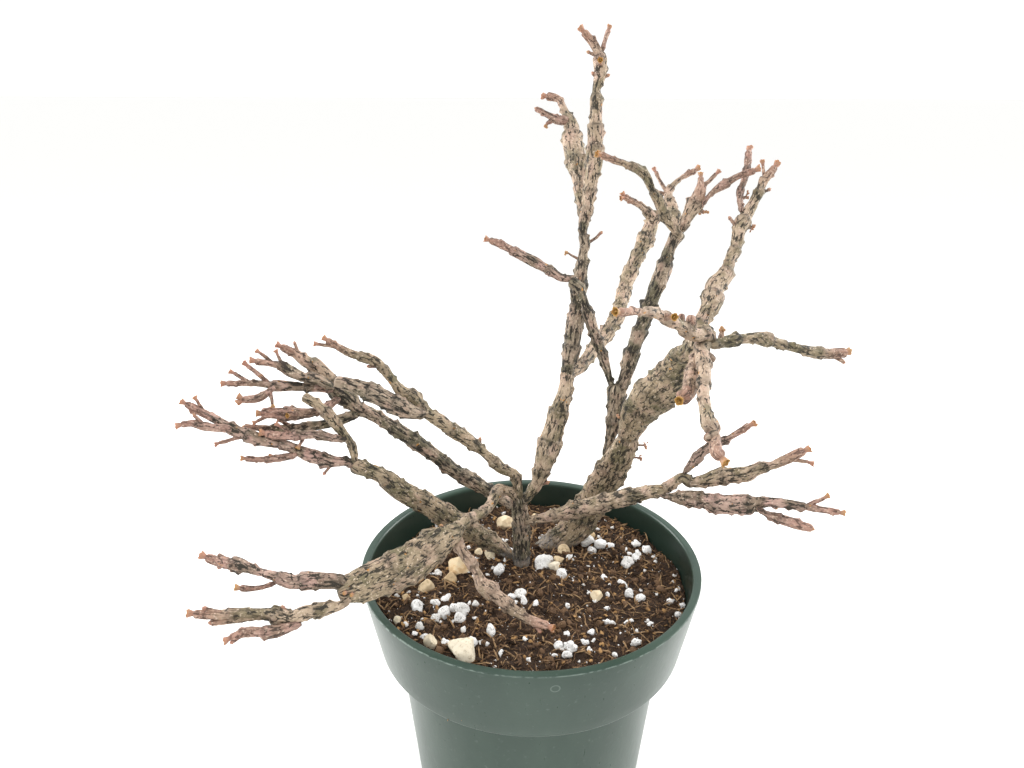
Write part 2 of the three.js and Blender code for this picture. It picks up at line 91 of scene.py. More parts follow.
def linear(hex_colour: str) -> tuple[float, float, float, float]:
    """Turn an sRGB hex colour into a linear one.

    Args:
        hex_colour: six hex digits after a hash.

    Returns:
        Red, green, blue and an alpha of one.
    """
    channels = [int(hex_colour[i:i + 2], 16) / 255 for i in (1, 3, 5)]
    bent = [c / 12.92 if c <= 0.04045 else ((c + 0.055) / 1.055) ** 2.4 for c in channels]
    return (*bent, 1.0)


class Kind(Enum):
    """The nodes in common use: type, inputs in the order given, and settings."""

    ADD = ("ShaderNodeMath", (0, 1), {"operation": "ADD", "use_clamp": True})
    SUBTRACT = ("ShaderNodeMath", (0, 1), {"operation": "SUBTRACT", "use_clamp": True})
    TIMES = ("ShaderNodeMath", (0, 1), {"operation": "MULTIPLY", "use_clamp": True})
    MOST = ("ShaderNodeMath", (0, 1), {"operation": "MAXIMUM", "use_clamp": True})
    # Rises smoothly from 0 at the first number to 1 at the second, or falls if it is lower.
    MASK = ("ShaderNodeMapRange", (0, 1, 2), {"interpolation_type": "SMOOTHSTEP"})
    RANGE = ("ShaderNodeMapRange", (0, 3, 4), {})
    MIX = ("ShaderNodeMix", (0, 6, 7), {"data_type": "RGBA"})
    RAMP = ("ShaderNodeValToRGB", (0,), {})
    NOISE = ("ShaderNodeTexNoise", ("Vector", "Scale", "Detail", "Roughness"), {})
    SCALED = ("ShaderNodeMapping", ("Vector", "Scale", "Location"), {})
    CARRIED = ("ShaderNodeAttribute", (), {})
    BUMP = ("ShaderNodeBump", ("Height", "Strength", "Distance"), {})
    RANDOM = ("FunctionNodeRandomValue", (2, 3, "Seed"), {"data_type": "FLOAT"})


def add_node(tree: Tree, kind: Kind | str, *values: object, inputs: dict | None = None,
             output: str | None = None, **settings: object) -> Socket | None:
    """Add one node, set its properties, and fill or link its inputs.

    Args:
        tree: the node tree that gets the node.
        kind: one of the kinds above, or a node's type name.
        values: what the kind's inputs get, in order; a socket is linked in.
        inputs: what inputs get by name or number; a socket is linked in.
        output: name of the output that is wanted, or None for the first in use.
        settings: properties of the node, by name; stops are a ramp's positions and colours.

    Returns:
        The output socket, or None if the node has none.
    """
    type_name, order, usual = kind.value if isinstance(kind, Kind) else (kind, (), {})
    made = tree.nodes.new(type_name)
    stops = settings.pop("stops", ())
    for name, value in {**usual, **settings}.items():
        setattr(made, name, value)
    for key, value in [*zip(order, values), *(inputs or {}).items()]:
        if isinstance(value, Socket):
            tree.links.new(value, made.inputs[key])
        else:
            made.inputs[key].default_value = value
    if stops:
        elements = made.color_ramp.elements
        while len(elements) < len(stops):
            elements.new(0.5)
        for element, (position, colour) in zip(elements, stops):
            element.position, element.color = position, linear(colour)
    if output:
        return made.outputs[output]
    return next((socket for socket in made.outputs if socket.enabled), None)


@dataclass(frozen=True)
class Pattern:
    """A noise laid on a surface, with lumps about one feature long, in millimetres."""

    feature: float
    detail: float = 3.0
    roughness: float = 0.55
    scale: Triple | None = None  # under 1 draws the lumps out along that axis
    shift: Triple = (0.0, 0.0, 0.0)

    def on(self, tree: Tree, place: Socket) -> Socket:
        """Lay it on.

        Args:
            tree: the material's node tree.
            place: coordinates in millimetres.

        Returns:
            The noise, from 0 to 1 and mostly near a half.
        """
        if self.scale is not None:
            place = add_node(tree, Kind.SCALED, place, self.scale, self.shift)
        return add_node(tree, Kind.NOISE, place, 1.0 / self.feature, self.detail,
                        self.roughness)


def new_material(name: str) -> tuple[Material, Tree, Node]:
    """Make a material with a bare Principled shader.

    Args:
        name: the finish's name.

    Returns:
        The material, its node tree and its shader node.
    """
    material = bpy.data.materials.new(name)
    material.use_nodes = True
    return material, material.node_tree, material.node_tree.nodes["Principled BSDF"]


def object_millimetres(tree: Tree) -> Socket:
    """Give Object coordinates in millimetres."""
    place = add_node(tree, "ShaderNodeTexCoord", output="Object")
    return add_node(tree, Kind.SCALED, place, (1 / MM, 1 / MM, 1 / MM))


def finish_shader(tree: Tree, shader: Node, colour: Socket, roughness: Socket | float,
                  specular: float, height: Socket, strength: float, depth: float) -> None:
    """Give a shader its colour, gloss and bump.

    Args:
        tree: the material's node tree.
        shader: its Principled shader.
        colour: the surface's colour.
        roughness: its roughness, a number where it is the same all over.
        specular: its specular level.
        height: what the bump follows, from 0 to 1.
        strength: the bump's strength.
        depth: the bump's depth in millimetres.
    """
    tree.links.new(colour, shader.inputs["Base Color"])
    if isinstance(roughness, Socket):
        tree.links.new(roughness, shader.inputs["Roughness"])
    else:
        shader.inputs["Roughness"].default_value = roughness
    shader.inputs["Specular IOR Level"].default_value = specular
    bump = add_node(tree, Kind.BUMP, height, strength, depth * MM)
    tree.links.new(bump, shader.inputs["Normal"])


# ---------------- mesh helpers


class Grain:
    """Smooth seeded noise on a wrapped block of random values, for carving relief."""

    def __init__(self, seed: int, size: int = 24) -> None:
        """Fill the block from a seed."""
        self.size = size
        self.block = np.random.default_rng(seed).uniform(-1.0, 1.0, (size, size, size))

    def at(self, points: Array, period: float | Triple) -> Array:
        """Read the noise.

        Args:
            points: an array whose last axis is x, y, z in millimetres.
            period: the length of one random step, or one length for each axis.

        Returns:
            Values from about -1 to 1, one for each point.
        """
        place = points / np.asarray(period, dtype=float)
        cell = np.floor(place).astype(int)
        share = place - cell
        share = share * share * (3.0 - 2.0 * share)
        total = np.zeros(points.shape[:-1])
        for corner in np.ndindex(2, 2, 2):
            weight = np.ones(points.shape[:-1])
            for axis in range(3):
                part = share[..., axis]
                weight = weight * (part if corner[axis] else 1.0 - part)
            index = tuple((cell[..., axis] + corner[axis]) % self.size for axis in range(3))
            total += weight * self.block[index]
        return total


def smooth_step(value: Array, low: float, high: float) -> Array:
    """Rise smoothly from 0 at low to 1 at high."""
    share = np.clip((value - low) / (high - low), 0.0, 1.0)
    return share * share * (3.0 - 2.0 * share)


def unit(vectors: Array) -> Array:
    """Scale vectors on the last axis to length one."""
    return vectors / np.maximum(np.linalg.norm(vectors, axis=-1, keepdims=True), 1e-9)


def full_circle(count: int) -> Array:
    """Give angles at even distances once round."""
    return np.linspace(0, FULL_TURN, count, endpoint=False)


def ring_faces(rings: int, sides: int) -> list[tuple[int, ...]]:
    """Join rings of vertices by quads, with a fan at each end to two last vertices.

    Args:
        rings: how many rings there are.
        sides: how many vertices each ring has.

    Returns:
        Faces of a closed tube whose end points are vertices rings * sides and the next one.
    """
    faces = []
    first, last = rings * sides, rings * sides + 1
    for side in range(sides):
        nxt = (side + 1) % sides
        faces.append((first, nxt, side))
        faces.append((last, (rings - 1) * sides + side, (rings - 1) * sides + nxt))
        for ring in range(rings - 1):
            low, high = ring * sides, (ring + 1) * sides
            faces.append((low + side, low + nxt, high + nxt, high + side))
    return faces


@dataclass
class Shape:
    """A mesh in the making: points in millimetres, faces and values carried by its points."""

    points: Array
    faces: list[tuple[int, ...]]
    values: dict[str, Array] = field(default_factory=dict)

    def moved(self, turn: Array, shift: Array, size: float = 1.0) -> "Shape":
        """Give a copy that is scaled, turned by a 3 by 3 matrix, and shifted."""
        return Shape(self.points * size @ turn.T + shift, self.faces, dict(self.values))


def joined(shapes: list[Shape]) -> Shape:
    """Put several shapes into one.

    Args:
        shapes: the shapes, which all carry the same values.

    Returns:
        One shape with their points, faces and values in the same order.
    """
    faces, start = [], 0
    for shape in shapes:
        faces += [tuple(index + start for index in face) for face in shape.faces]
        start += len(shape.points)
    values = {name: np.concatenate([shape.values[name] for shape in shapes])
              for name in shapes[0].values}
    return Shape(np.concatenate([shape.points for shape in shapes]), faces, values)


def to_object(name: str, shape: Shape, material: Material,
              sharp_angle: float | None = None) -> Object:
    """Turn a shape into a Blender object in metres.

    Args:
        name: the object's name.
        shape: its points, faces and values.
        material: the one material that it wears.
        sharp_angle: edges sharper than this many degrees stay crisp; None smooths all.

    Returns:
        The object, at the origin, linked to the scene.
    """
    mesh = bpy.data.meshes.new(name)
    mesh.from_pydata((shape.points * MM).tolist(), [], shape.faces)
    for key, value in shape.values.items():
        kind = "FLOAT_VECTOR" if value.ndim == 2 else "FLOAT"
        layer = mesh.attributes.new(key, kind, "POINT")
        layer.data.foreach_set("vector" if value.ndim == 2 else "value",
                               value.astype(np.float32).ravel())
    mesh.materials.append(material)
    mesh.shade_smooth()
    if sharp_angle is not None:
        mesh.set_sharp_from_angle(angle=math.radians(sharp_angle))
    made = bpy.data.objects.new(name, mesh)
    bpy.context.scene.collection.objects.link(made)
    return made


def settle(piece: Object, slot: str, *nodes: str) -> None:
    """Args:
        piece: the finished piece.
        slot: the record's material slot; it is not used.
        nodes: the CAD nodes that it replaces.
    """
    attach(piece, BODY)
    if nodes:
        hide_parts(*nodes)


def slot_of(node: str) -> str:
    """Give the material slot that the record names for a CAD node."""
    return next(part["material_slot"] for part in frame["record"]["subparts"]
                if part["node"] == node)


def node_points(node: str) -> Array:
    """Give a CAD node's vertices in millimetres, in no order, with repeats."""
    mesh = frame["nodes"][node].data
    flat = np.empty(len(mesh.vertices) * 3)
    mesh.vertices.foreach_get("co", flat)
    return flat.reshape(-1, 3) / MM


def radii_at(points: Array, height: float) -> list[float]:
    """List the different radii, in rising order, of the points at one height."""
    level = points[np.abs(points[:, 2] - height) < 0.05]
    return sorted(set(np.round(np.hypot(level[:, 0], level[:, 1]), 1)))


# ---------------- bark


@dataclass(frozen=True)
class Bark:
    """Dry euphorbia skin: a pale waxy ground with dark streaks that run along the stem.

    It is matt with a faint wax sheen, darkens in its furrows and round its scars, and turns
    mauve-brown towards a young tip. Amounts run from 0 to 1.
    """

    name: str
    ground: str
    warm: str
    olive: str
    streak: str = "#2a271f"
    stripe: str = "#3a3f38"
    streaks: float = 0.5
    crackle: float = 0.5
    stripes: float = 0.4
    warmth: float = 0.5
    tip: str = "#8f6557"
    tip_pale: str = "#b28a78"
    tip_streak: str = "#40322c"
    tip_dull: str = "#7d5f52"
    tip_fleck: str = "#c3a492"
    fleck: str = "#d3c0aa"
    amber: str = "#c08a4c"
    furrow: str = "#2c2820"
    wax: str = "#8a8887"

    PATCHES: ClassVar[Pattern] = Pattern(6.0, 2.0)
    TINT: ClassVar[Pattern] = Pattern(3.0, 4.0, scale=(1, 1, 0.5), shift=(31, 7, 3))
    BLOTCH: ClassVar[Pattern] = Pattern(0.85, 4.0, 0.6, (1.0, 1.0, 0.34))
    MOTTLE: ClassVar[Pattern] = Pattern(0.7, 4.0, 0.6, (1, 1, 0.6), (3, 17, 9))
    LONG: ClassVar[Pattern] = Pattern(1.3, scale=(1, 1, 0.07), shift=(9, 4, 2))
    FLECKS: ClassVar[Pattern] = Pattern(0.5, scale=(1, 1, 0.8), shift=(13, 2, 77))
    AMBERS: ClassVar[Pattern] = Pattern(1.6, 1.0, scale=(1, 1, 1), shift=(41, 8, 19))
    CRACK_STRETCH: ClassVar[Triple] = (1, 1, 0.42)
    CRACK_SCALE: ClassVar[float] = 0.95  # cracks in a millimetre, about
    CRACK_BEND: ClassVar[float] = 0.12
    BEND_SCALE: ClassVar[float] = 1.1

    def material(self) -> Material:
        """Build the node material.

        Returns:
            A material that reads the grain, mark, youth and foot values of a stem.
        """
        material, tree, shader = new_material(self.name)
        grain = add_node(tree, Kind.CARRIED, output="Vector", attribute_name="grain")
        mark, youth, foot = (add_node(tree, Kind.CARRIED, output="Fac", attribute_name=name)
                             for name in ("mark", "youth", "foot"))
        tint, mottle = self.TINT.on(tree, grain), self.MOTTLE.on(tree, grain)
        flecks = self.FLECKS.on(tree, grain)
        patches, blotch = self.PATCHES.on(tree, grain), self.BLOTCH.on(tree, grain)

        colour = self._ground(tree, grain, tint, patches, mottle, flecks, blotch)
        dark = self._streaks(tree, grain, patches, blotch)
        colour = add_node(tree, Kind.MIX, dark, colour, linear(self.streak))
        colour = add_node(tree, Kind.MIX, add_node(tree, Kind.TIMES, mark, 0.9), colour,
                          linear(self.furrow))
        young = self._young(tree, tint, mottle, flecks, dark)
        colour = add_node(tree, Kind.MIX, youth, colour, young)
        bloom = add_node(tree, Kind.MASK, mottle, 0.66, 0.46)
        bloom = add_node(tree, Kind.TIMES, bloom, 0.62)
        colour = add_node(tree, Kind.MIX, add_node(tree, Kind.TIMES, foot, bloom), colour,
                          linear(self.wax))

        rough = add_node(tree, Kind.RANGE, mottle, 0.5, 0.82)
        rise = add_node(tree, Kind.SUBTRACT, add_node(tree, Kind.TIMES, mottle, 0.9),
                        add_node(tree, Kind.TIMES, dark, 0.3))
        finish_shader(tree, shader, colour, rough, 0.35, rise, 0.8, 0.4)
        return material

    def _ground(self, tree: Tree, grain: Socket, tint: Socket, patches: Socket,
                mottle: Socket, flecks: Socket, blotch: Socket) -> Socket:
        """Colour the old bark under its streaks: warm and olive patches, flecks and stripes.

        Args:
            tree: the material's node tree.
            grain: coordinates along the stem.
            tint: broad noise that picks the warmer ground.
            patches: broadest noise, for olive patches.
            mottle: fine noise that shades it.
            flecks: finest noise, for pale flecks.
            blotch: drawn-out noise that breaks the stripes.

        Returns:
            The colour.
        """
        warm = add_node(tree, Kind.MASK, tint, 0.36 + 0.2 * (1 - self.warmth), 0.68)
        colour = add_node(tree, Kind.MIX, warm, linear(self.ground), linear(self.warm))
        colour = add_node(tree, Kind.MIX, add_node(tree, Kind.MASK, patches, 0.46, 0.64),
                          colour, linear(self.olive))
        shade = add_node(tree, Kind.TIMES, add_node(tree, Kind.MASK, mottle, 0.48, 0.62), 0.38)
        colour = add_node(tree, Kind.MIX, shade, colour, linear(self.olive),
                          blend_type="MULTIPLY")
        colour = add_node(tree, Kind.MIX, add_node(tree, Kind.MASK, flecks, 0.58, 0.68), colour,
                          linear(self.fleck))
        ambers = self.AMBERS.on(tree, grain)
        colour = add_node(tree, Kind.MIX, add_node(tree, Kind.MASK, ambers, 0.735, 0.765),
                          colour, linear(self.amber))
        low = 0.66 - 0.10 * self.stripes
        band = add_node(tree, Kind.MASK, self.LONG.on(tree, grain), low, low + 0.07)
        band = add_node(tree, Kind.TIMES, band, add_node(tree, Kind.MASK, blotch, 0.36, 0.52))
        return add_node(tree, Kind.MIX, add_node(tree, Kind.TIMES, band, 0.8), colour,
                        linear(self.stripe))

    def _streaks(self, tree: Tree, grain: Socket, patches: Socket, blotch: Socket) -> Socket:
        """Draw the dark streaks and the fine crackle between them.

        Args:
            tree: the material's node tree.
            grain: coordinates along the stem.
            patches: broad noise that gathers the streaks.
            blotch: drawn-out noise that they follow.

        Returns:
            How dark the bark is, from 0 to 1.
        """
        bend = add_node(tree, "ShaderNodeTexNoise", output="Color",
                        inputs={"Vector": grain, "Scale": self.BEND_SCALE, "Detail": 2.0})
        straight = add_node(tree, Kind.SCALED, grain, self.CRACK_STRETCH)
        bent = add_node(tree, "ShaderNodeMixRGB", blend_type="ADD",
                        inputs={"Fac": self.CRACK_BEND, "Color1": straight, "Color2": bend})
        cracks = add_node(tree, "ShaderNodeTexVoronoi", output="Distance",
                          inputs={"Vector": bent, "Scale": self.CRACK_SCALE},
                          feature="DISTANCE_TO_EDGE")
        drive = add_node(tree, Kind.ADD, blotch, add_node(tree, Kind.TIMES, patches, 0.2))
        edge = 0.725 - 0.09 * self.streaks
        width = 0.08 + 0.05 * self.crackle
        gate = add_node(tree, Kind.MASK, blotch, 0.52 - 0.08 * self.crackle, 0.56)
        line = add_node(tree, Kind.TIMES, add_node(tree, Kind.MASK, cracks, width, 0.5 * width),
                        gate)
        dark = add_node(tree, Kind.MOST, add_node(tree, Kind.MASK, drive, edge, edge + 0.03),
                        line)
        return add_node(tree, Kind.TIMES, dark, 0.94)

    def _young(self, tree: Tree, tint: Socket, mottle: Socket, flecks: Socket,
               dark: Socket) -> Socket:
        """Colour the young skin near a tip.

        Args:
            tree: the material's node tree.
            tint: broad noise between its two shades.
            mottle: fine noise that dulls it.
            flecks: finest noise, for pale flecks.
            dark: the streaks, which show through.

        Returns:
            The colour.
        """
        young = add_node(tree, Kind.MIX, add_node(tree, Kind.MASK, tint, 0.38, 0.62),
                         linear(self.tip), linear(self.tip_pale))
        young = add_node(tree, Kind.MIX, add_node(tree, Kind.TIMES, dark, 0.8), young,
                         linear(self.tip_streak))
        young = add_node(tree, Kind.MIX, add_node(tree, Kind.MASK, mottle, 0.5, 0.6), young,
                         linear(self.tip_dull))
        return add_node(tree, Kind.MIX, add_node(tree, Kind.MASK, flecks, 0.54, 0.64), young,
                        linear(self.tip_fleck))


class Coat(Enum):
    """The barks that this plant's stems wear."""

    TAN = Bark("bark_tan_mottled", "#b9a48c", "#c2a694", "#897c62", streaks=0.55,
               crackle=0.6, stripes=0.6)
    OLIVE = Bark("bark_olive_grey", "#a6947a", "#b39a85", "#797056", streaks=0.5, crackle=0.8,
                 stripes=0.3)
    DARK = Bark("bark_dark_mottled", "#a59480", "#b59a88", "#6f6853", streak="#231f19",
                stripe="#2a2c26", streaks=0.9, crackle=0.9, stripes=1.0)
    ROSE = Bark("bark_rosy", "#b4998a", "#bd9a8e", "#8a7866", streaks=0.6, crackle=0.7,
                stripes=0.4, warmth=0.9)
    PALE = Bark("bark_pale", "#b9a38d", "#c2a592", "#90836b", streaks=0.4, crackle=0.5,
                stripes=0.3, warmth=0.7)


@dataclass
class Spine:
    """A stem's middle line from base to tip, with its frame and half sizes at each stop."""

    centres: Array
    along: Array
    across: Array
    through: Array
    half_width: Array
    half_depth: Array
    reach: Array  # distance from the base along the line
    hidden: float  # length at the base that lies inside the parent

    def trimmed(self, gap: float) -> "Spine":
        """Give the spine without its last few millimetres, or a third of it if it is short."""
        stop = self.reach[-1] - min(gap, self.length / 3)
        kept = self.reach <= stop
        return Spine(self.centres[kept], self.along[kept], self.across[kept],
                     self.through[kept], self.half_width[kept], self.half_depth[kept],
                     self.reach[kept], self.hidden)

    @property
    def length(self) -> float:
        """Length of the middle line."""
        return float(self.reach[-1])


class SpineReader:
    """Reads a stem's middle line back from its CAD node.

    The node is a loft of equal rings closed by a fan at its tip, and neighbours are cut out of
    it towards its base. So its rings are found one by one from the tip until the first cut,
    and from there on the node is sliced square to its run.
    """

    RING_SIDES = 8
    STEP = 0.5  # distance between the finished stops
    SLICE = 1.2  # distance between slices
    SOFTEN = 0.9  # how far a bend or a change of width is rounded

    def read(self, node: str, rooted: bool) -> Spine:
        """Read one node.

        Args:
            node: the CAD node's name.
            rooted: true if the stem comes out of the mix and not out of another stem.

        Returns:
            The resampled and smoothed spine.
        """
        rings = self._rings(node)
        centres = [ring.mean(axis=0) for ring in rings]
        middle = unit(np.gradient(np.array(centres), axis=0))
        widths, depths = [], []
        for index, ring in enumerate(rings):
            across, through = self._frame(middle[index][None])
            spread = ring - centres[index]
            widths.append(np.abs(spread @ across[0]).max())
            depths.append(np.abs(spread @ through[0]).max())
        self._march(node, centres, widths, depths)
        centres, widths, depths = centres[::-1], widths[::-1], depths[::-1]
        root = 0.0 if rooted else min(2.2, max(1.2, widths[0]))
        if root:
            back = unit(centres[0] - centres[1])
            start, width, depth = centres[0], widths[0], depths[0]
            for share, narrowing in ((0.5, 0.9), (1.0, 0.5)):
                centres.insert(0, start + back * root * share)
                widths.insert(0, width * narrowing)
                depths.insert(0, depth * narrowing)
        return self._resample(np.array(centres), np.array(widths), np.array(depths), root)

    def _march(self, node: str, centres: list[Array], widths: list[float],
               depths: list[float]) -> None:
        """Slice the node past its last whole ring and add what each slice shows.

        Args:
            node: the CAD node's name.
            centres: middles from the tip on, which grow.
            widths: half widths, which grow.
            depths: half depths, which grow.
        """
        mesh = frame["nodes"][node].data
        mesh.calc_loop_triangles()
        corners = np.array([t.vertices for t in mesh.loop_triangles])
        points = np.array([v.co for v in mesh.vertices]) / MM
        triangles = points[corners]
        heading = unit(centres[-1] - centres[-2])
        while True:
            place = centres[-1] + heading * self.SLICE
            cut = self._slice(triangles, place, heading, 1.6 * widths[-1] + 0.5)
            if len(cut) < 4:
                return
            across, through = self._frame(-heading[None])
            east, north = (cut - place) @ across[0], (cut - place) @ through[0]
            half_east, half_north = np.ptp(east) / 2, np.ptp(north) / 2
            if half_east < 0.35 * widths[-1] or half_north < 0.3 * depths[-1]:
                return
            trust = 0.6  # a slice with a cut in it is off its middle
            shift = (across[0] * (east.max() + east.min()) / 2
                     + through[0] * (north.max() + north.min()) / 2)
            found = place + trust * shift
            heading = unit(0.5 * heading + 0.5 * unit(found - centres[-1]))
            widths.append(max(0.93 * widths[-1], min(half_east, 1.1 * widths[-1])))
            depths.append(max(0.93 * depths[-1], min(half_north, 1.1 * depths[-1])))
            centres.append(found)

    @staticmethod
    def _slice(triangles: Array, place: Array, heading: Array, reach: float) -> Array:
        """Give the points near a place where a plane square to a heading cuts the edges."""
        above = (triangles - place) @ heading
        found = []
        for one, other in ((0, 1), (1, 2), (2, 0)):
            a, b = above[:, one], above[:, other]
            crossing = (a * b) < 0
            share = (a[crossing] / (a[crossing] - b[crossing]))[:, None]
            found.append(triangles[crossing, one] * (1 - share)
                         + triangles[crossing, other] * share)
        cut = np.concatenate(found)
        return cut[np.linalg.norm(cut - place, axis=1) < reach]

    def _rings(self, node: str) -> list[Array]:
        """Find the whole rings, from the tip on."""
        mesh = bmesh.new()
        mesh.from_mesh(frame["nodes"][node].data)
        bmesh.ops.remove_doubles(mesh, verts=mesh.verts, dist=1e-6)
        best: list[list[bmesh.types.BMVert]] = []
        for vert in mesh.verts:
            if len(vert.link_edges) == self.RING_SIDES:
                found = self._walk(vert)
                if (len(found), vert.co.z) > (len(best), best[0][0].co.z if best else 0.0):
                    best = found
        rings = [np.array([v.co for v in ring]) / MM for ring in best]
        mesh.free()
        return rings

    def _walk(self, cap: bmesh.types.BMVert) -> list[list[bmesh.types.BMVert]]:
        """Step outwards from a cap's centre for as long as each step is one whole ring."""
        level, seen, rings = [cap], {cap}, []
        while True:
            ahead = []
            for vert in level:
                for edge in vert.link_edges:
                    other = edge.other_vert(vert)
                    if other not in seen:
                        seen.add(other)
                        ahead.append(other)
            if len(ahead) != self.RING_SIDES:
                return rings
            rings.append(ahead)
            level = ahead

    @staticmethod
    def _frame(along: Array) -> tuple[Array, Array]:
        """Give the directions of a stem's width and depth for directions along it."""
        across = unit(np.cross(along, FRONT))
        return across, unit(np.cross(along, across))

    def _resample(self, centres: Array, widths: Array, depths: Array, root: float) -> Spine:
        """Put stops at even distances on the line and round its corners."""
        gaps = np.linalg.norm(np.diff(centres, axis=0), axis=1)
        reach = np.concatenate([[0.0], np.cumsum(gaps)])
        count = max(6, int(reach[-1] / self.STEP) + 1)
        even = np.linspace(0.0, reach[-1], count)
        columns = np.column_stack([centres, widths, depths])
        dense = np.column_stack([np.interp(even, reach, column) for column in columns.T])
        step = even[1]
        span = max(1, int(3 * self.SOFTEN / step))
        kernel = np.exp(-0.5 * (np.arange(-span, span + 1) * step / self.SOFTEN) ** 2)
        kernel /= kernel.sum()
        soft = np.empty_like(dense)
        for column in range(dense.shape[1]):
            line = dense[:, column]
            pad = min(span, count - 1)
            before = 2 * line[0] - line[pad:0:-1]
            after = 2 * line[-1] - line[-2:-pad - 2:-1]
            before = np.pad(before, (span - pad, 0), mode="edge")
            after = np.pad(after, (0, span - pad), mode="edge")
            soft[:, column] = np.convolve(np.concatenate([before, line, after]), kernel,
                                          mode="valid")
        along = unit(np.gradient(soft[:, :3], axis=0))
        across, through = self._frame(along)
        return Spine(soft[:, :3], along, across, through, np.maximum(soft[:, 3], 0.4),
                     np.maximum(soft[:, 4], 0.4), even, root)


# ---------------- stems


@dataclass
class StemCarver:
    """Turns a spine into a closed skin with lumps, furrows, joint rings and leaf scars."""

    facet: float = 0.42
    lump: float = 0.055  # share of the half width
    furrow_depth: float = 0.22
    furrow_width: float = 0.32
    scar_gap: float = 4.6
    scar_height: float = 0.75
    segment: float = 6.5  # shortest growth segment
    segment_share: float = 1.1  # how much longer it is for each millimetre of half width
    flare: float = 0.32  # how much a segment widens towards its top, as a share
    fine: float = 0.12
    plump: float = 1.04
    youth_length: float = 10.0
    wax_height: float = 7.0

    def skin(self, name: str, spine: Spine, ends: bool, young: float, soil: float | None,
             plain: bool = False) -> Shape:
        """Carve one stem.

        Args:
            name: seeds what is random about it.
            spine: its middle line.
            ends: true if it ends in the open, so that its tip is young.
            young: how young all of it is, from 0 to 1.
            soil: height of the mix if the stem stands in it, or None.
            plain: true for a short twig with no scars or furrows.

        Returns:
            The closed skin with its grain, mark, youth and foot values.
        """
        rng = np.random.default_rng(zlib.crc32(name.encode()))
        noise = Grain(int(rng.integers(1 << 30)))
        visible = spine.length - spine.hidden
        girth = FULL_TURN * math.sqrt((spine.half_width.max() ** 2
                                         + spine.half_depth.max() ** 2) / 2)
        sides = int(np.clip(girth / self.facet, 12, 72))
        turn = full_circle(sides)[None, :]
        joints = self._joints(rng, spine, visible, plain)
        swell = self.plump * self._flares(spine, joints, float(spine.half_width.max()))
        a, b = (spine.half_width * swell)[:, None], (spine.half_depth * swell)[:, None]
        flat = 1.0 - b / a
        x = a * np.cos(turn)
        y = b * np.sin(turn) * (1.0 - 0.22 * flat * (1 - np.abs(np.sin(turn))))
        skin = (spine.centres[:, None] + spine.across[:, None] * x[..., None]
                + spine.through[:, None] * y[..., None])
        outward = unit(spine.across[:, None] * (np.cos(turn) / a)[..., None]
                       + spine.through[:, None] * (np.sin(turn) / b)[..., None])
        reach = np.broadcast_to(spine.reach[:, None], x.shape)
        grain = np.stack([x, y, reach], axis=-1) + rng.uniform(0, 60, 3)

        relief = self.lump * a * (noise.at(grain, 4.0) + 0.7 * noise.at(grain, (1.8, 1.8, 2.2)))
        relief = relief + self.fine * (noise.at(grain, (0.8, 0.8, 1.3))
                                       + 0.6 * noise.at(grain, 0.5))
        mark = np.zeros_like(relief)
        fade = smooth_step(reach, spine.hidden, spine.hidden + 2.0)
        if not plain:
            cut, dark = self._furrows(rng, noise, a, b, turn, reach)
            relief, mark = relief - cut * fade, np.maximum(mark, dark)
            bump, dark = self._scars(rng, spine, a, b, turn, reach, visible)
            relief, mark = relief + bump * fade, np.maximum(mark, dark)
        dark = self._collars(noise, joints, grain, reach)
        mark = np.maximum(mark, dark)
        points = skin + outward * relief[..., None]

        youth = np.full_like(relief, young)
        if ends:
            start = spine.length - min(self.youth_length, 0.6 * visible)
            rise = smooth_step(reach + 1.5 * noise.at(grain, 2.5), start, spine.length)
            youth = np.maximum(youth, 0.75 * rise)
        foot = np.zeros_like(relief)
        if soil is not None:
            above = points[..., 2] - soil + 2.0 * noise.at(grain, 2.0)
            foot = 1.0 - smooth_step(above, 0.2 * self.wax_height, self.wax_height)
        return self._close(spine, points, {"grain": grain, "mark": mark, "youth": youth,
                                           "foot": foot})

    def _joints(self, rng: Random, spine: Spine, visible: float,
                plain: bool) -> list[float]:
        """Choose where the growth segments of a stem meet, as reaches from its base."""
        if plain:
            return [spine.hidden + 0.5]
        length = self.segment + self.segment_share * float(spine.half_width.max())
        count = max(1, int(round(visible / length)))
        spots = [spine.hidden + 0.7]
        for index in range(1, count):
            spots.append(spine.hidden + visible * (index + rng.uniform(-0.28, 0.28)) / count)
        return spots

    def _flares(self, spine: Spine, joints: list[float], half_width: float) -> Array:
        """Widen each segment towards its top, where it drops back over less than a mm."""
        stops = [*joints, spine.length + 6.0]
        factor = np.ones_like(spine.reach)
        strength = self.flare * min(1.0, 2.2 / half_width)
        for low, high in zip(stops, stops[1:]):
            share = np.clip((spine.reach - low) / (high - low), 0, 1)
            inside = smooth_step(spine.reach, low - 0.25, low + 0.25) * (
                1 - smooth_step(spine.reach, high - 0.25, high + 0.25))
            factor += strength * inside * (share ** 1.8 - 0.42)
        return factor

    @staticmethod
    def _collars(noise: Grain, joints: list[float], grain: Array, reach: Array) -> Array:
        """Darken the crease where two segments meet, in broken lines."""
        wander = 0.45 * noise.at(grain, (2.5, 2.5, 50.0))
        gap = smooth_step(noise.at(grain + 5.0, (1.4, 1.4, 30.0)), -0.35, 0.2)
        dark = np.zeros_like(reach)
        for joint in joints:
            off = reach - joint + wander
            dark = np.maximum(dark, 0.9 * gap * np.exp(-(off / 0.35) ** 2))
            dark = np.maximum(dark, 0.38 * np.exp(-((off + 0.5) / 1.2) ** 2))
        return dark

